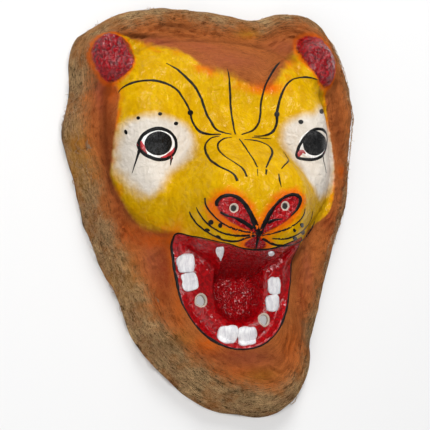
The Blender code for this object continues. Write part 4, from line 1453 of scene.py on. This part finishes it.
def makeFibres():
    # thin tubes that follow the rim, drift across it, rise a little off it and taper at both ends
    rng = np.random.default_rng(fibres["seed"])
    count, sections = fibres["count"], fibres["sections"]
    t = np.linspace(-0.5, 0.5, sections)[None, :]

    def pick(low, high, power=1.0):
        return low + (high - low) * rng.uniform(0, 1, (count, 1)) ** power

    length, radius = pick(*fibres["length"], 1.6), pick(*fibres["radius"], 1.5)
    start = pick(*fibres["depth"], 1.2)
    heading = rng.normal(0, fibres["heading"], (count, 1))
    bend = rng.normal(0, fibres["bend"], (count, 1))
    angle = rng.uniform(-math.pi, math.pi, (count, 1))
    middle = rim.reach(angle)
    depth = start + heading * length * t + bend * (t**2 * 4 - 0.4)
    depth = depth + fibres["wave"] * lumps(t * 9 + angle * 40, start * 7 + t * 0, 91)
    turn = angle + length * t / middle
    flat = rim.point(turn.ravel(), depth.ravel()).reshape(count, sections, 2)
    inside = np.clip(rim.depth(flat[..., 0], flat[..., 1]), 0.6, None)
    ground = rim.point(turn.ravel(), inside.ravel()).reshape(count, sections, 2)
    z = outerHeight(ground[..., 0], ground[..., 1])
    rise = np.clip(lumps(t * 5 + angle * 90, start * 3 + t * 0, 92), -0.3, 1)
    z = z + radius * 0.4 + fibres["lift"] * rise
    path = np.concatenate([flat, np.maximum(z, radius + 0.15)[..., None]], -1)
    run = np.gradient(path, axis=1)
    run = run / np.linalg.norm(run, axis=-1, keepdims=True)
    side = np.cross(run, (0, 0, 1.0))
    side = side / np.linalg.norm(side, axis=-1, keepdims=True)
    up = np.cross(side, run)
    taper = (1 - (2 * np.abs(t)) ** 4) * 0.85 + 0.15
    around = turns(fibres["sides"])
    spoke = side[:, :, None] * np.cos(around)[:, None] + up[:, :, None] * np.sin(around)[:, None]
    rings = path[:, :, None] + spoke * (radius * taper)[:, :, None, None]
    addPaint("rim_fibres", joined([loft(strand) for strand in rings]), rawFibreMaterial("loose_fibre"))
    print("fibres:", count)


# Stage, lights and camera

studio = {
    "floor": paint(229, 229, 229), "floorRoughness": 0.9, "floorReach": 4000,
    # how much the floor shines by itself: faintly in the open, and more under the jaw at x, y within a reach, a
    # painted pool of light that the sight holes look onto
    "glow": {"open": 0.03, "under": 0.42, "place": (0.005, -0.095), "reach": (0.035, 0.06)},
    "lights": {
        "key": {"place": (0.25, 1.6, 1.4), "size": 0.9, "power": 26},
        "fill": {"place": (-1.2, -1.0, 1.3), "size": 1.6, "power": 13},
        "top": {"place": (0.2, 0.2, 2.3), "size": 0.7, "power": 20},
        "spark": {"place": (-0.55, 0.25, 1.9), "size": 0.14, "power": 5},
    },
    "sky": 0.2,
}


def aimed(place, aim=(0, 0, 0.03)):
    # a turn that points -z from the place to the aim
    return (Vector(aim) - Vector(place)).to_track_quat("-Z", "Y").to_matrix().to_4x4()


def makeStudio():
    # a pale floor that shines a little by itself, with a painted pool of light under the jaw, four area lights
    # and an even sky
    floorMaterial, board, shader = newMaterial("studio_floor")
    shader["Base Color"].default_value = studio["floor"]
    shader["Roughness"].default_value = studio["floorRoughness"]
    shader["Emission Color"].default_value = (1, 1, 1, 1)
    glow = studio["glow"]
    away = board.vectorMath("DISTANCE", board.objectPlace(), (*glow["place"], 0), "Value")
    # painted light: the floor glows strongly under the jaw, where the sight holes look onto it
    board.put(shader["Emission Strength"], away.step(*glow["reach"], glow["under"], glow["open"]))
    square = np.array([(-1, -1, 0), (1, -1, 0), (1, 1, 0), (-1, 1, 0)], float)
    corners = square * studio["floorReach"] + (*drawing["shift"], 0)
    addMesh("floor", (corners, [(0, 1, 2, 3)]), floorMaterial)
    for name, lamp in studio["lights"].items():
        light = bpy.data.lights.new(name + "_light", "AREA")
        light.size = lamp["size"]
        light.energy = lamp["power"]
        holder = bpy.data.objects.new(name + "_light", light)
        holder.matrix_world = Matrix.Translation(lamp["place"]) @ aimed(lamp["place"])
        bpy.context.scene.collection.objects.link(holder)
    world = bpy.data.worlds.new("studio")
    world.use_nodes = True
    sky = world.node_tree.nodes["Background"]
    sky.inputs["Color"].default_value = (1, 1, 1, 1)
    sky.inputs["Strength"].default_value = studio["sky"]
    bpy.context.scene.world = world
    bpy.context.scene.view_settings.view_transform = "Standard"


def makeCamera():
    # the photograph's view: its lens is the sensor times the distance in pixels, over the frame in pixels
    lens = bpy.data.cameras.new("camera")
    lens.sensor_width = photoCamera["sensor"]
    lens.lens = lens.sensor_width * pixelsToAim / photoCamera["frame"]
    lens.clip_end = photoCamera["sight"]
    holder = bpy.data.objects.new("camera", lens)
    turn = Matrix((cameraRight, cameraUp, cameraBack)).transposed().to_4x4()
    holder.matrix_world = Matrix.Translation(toWorld(cameraPlace)) @ turn
    bpy.context.scene.collection.objects.link(holder)
    bpy.context.scene.camera = holder


makeCamera()
makeStudio()
makeShell()
makeTeeth()
makeInk()
makeHoleEdges()
makeFibres()

bpy.context.view_layer.update()
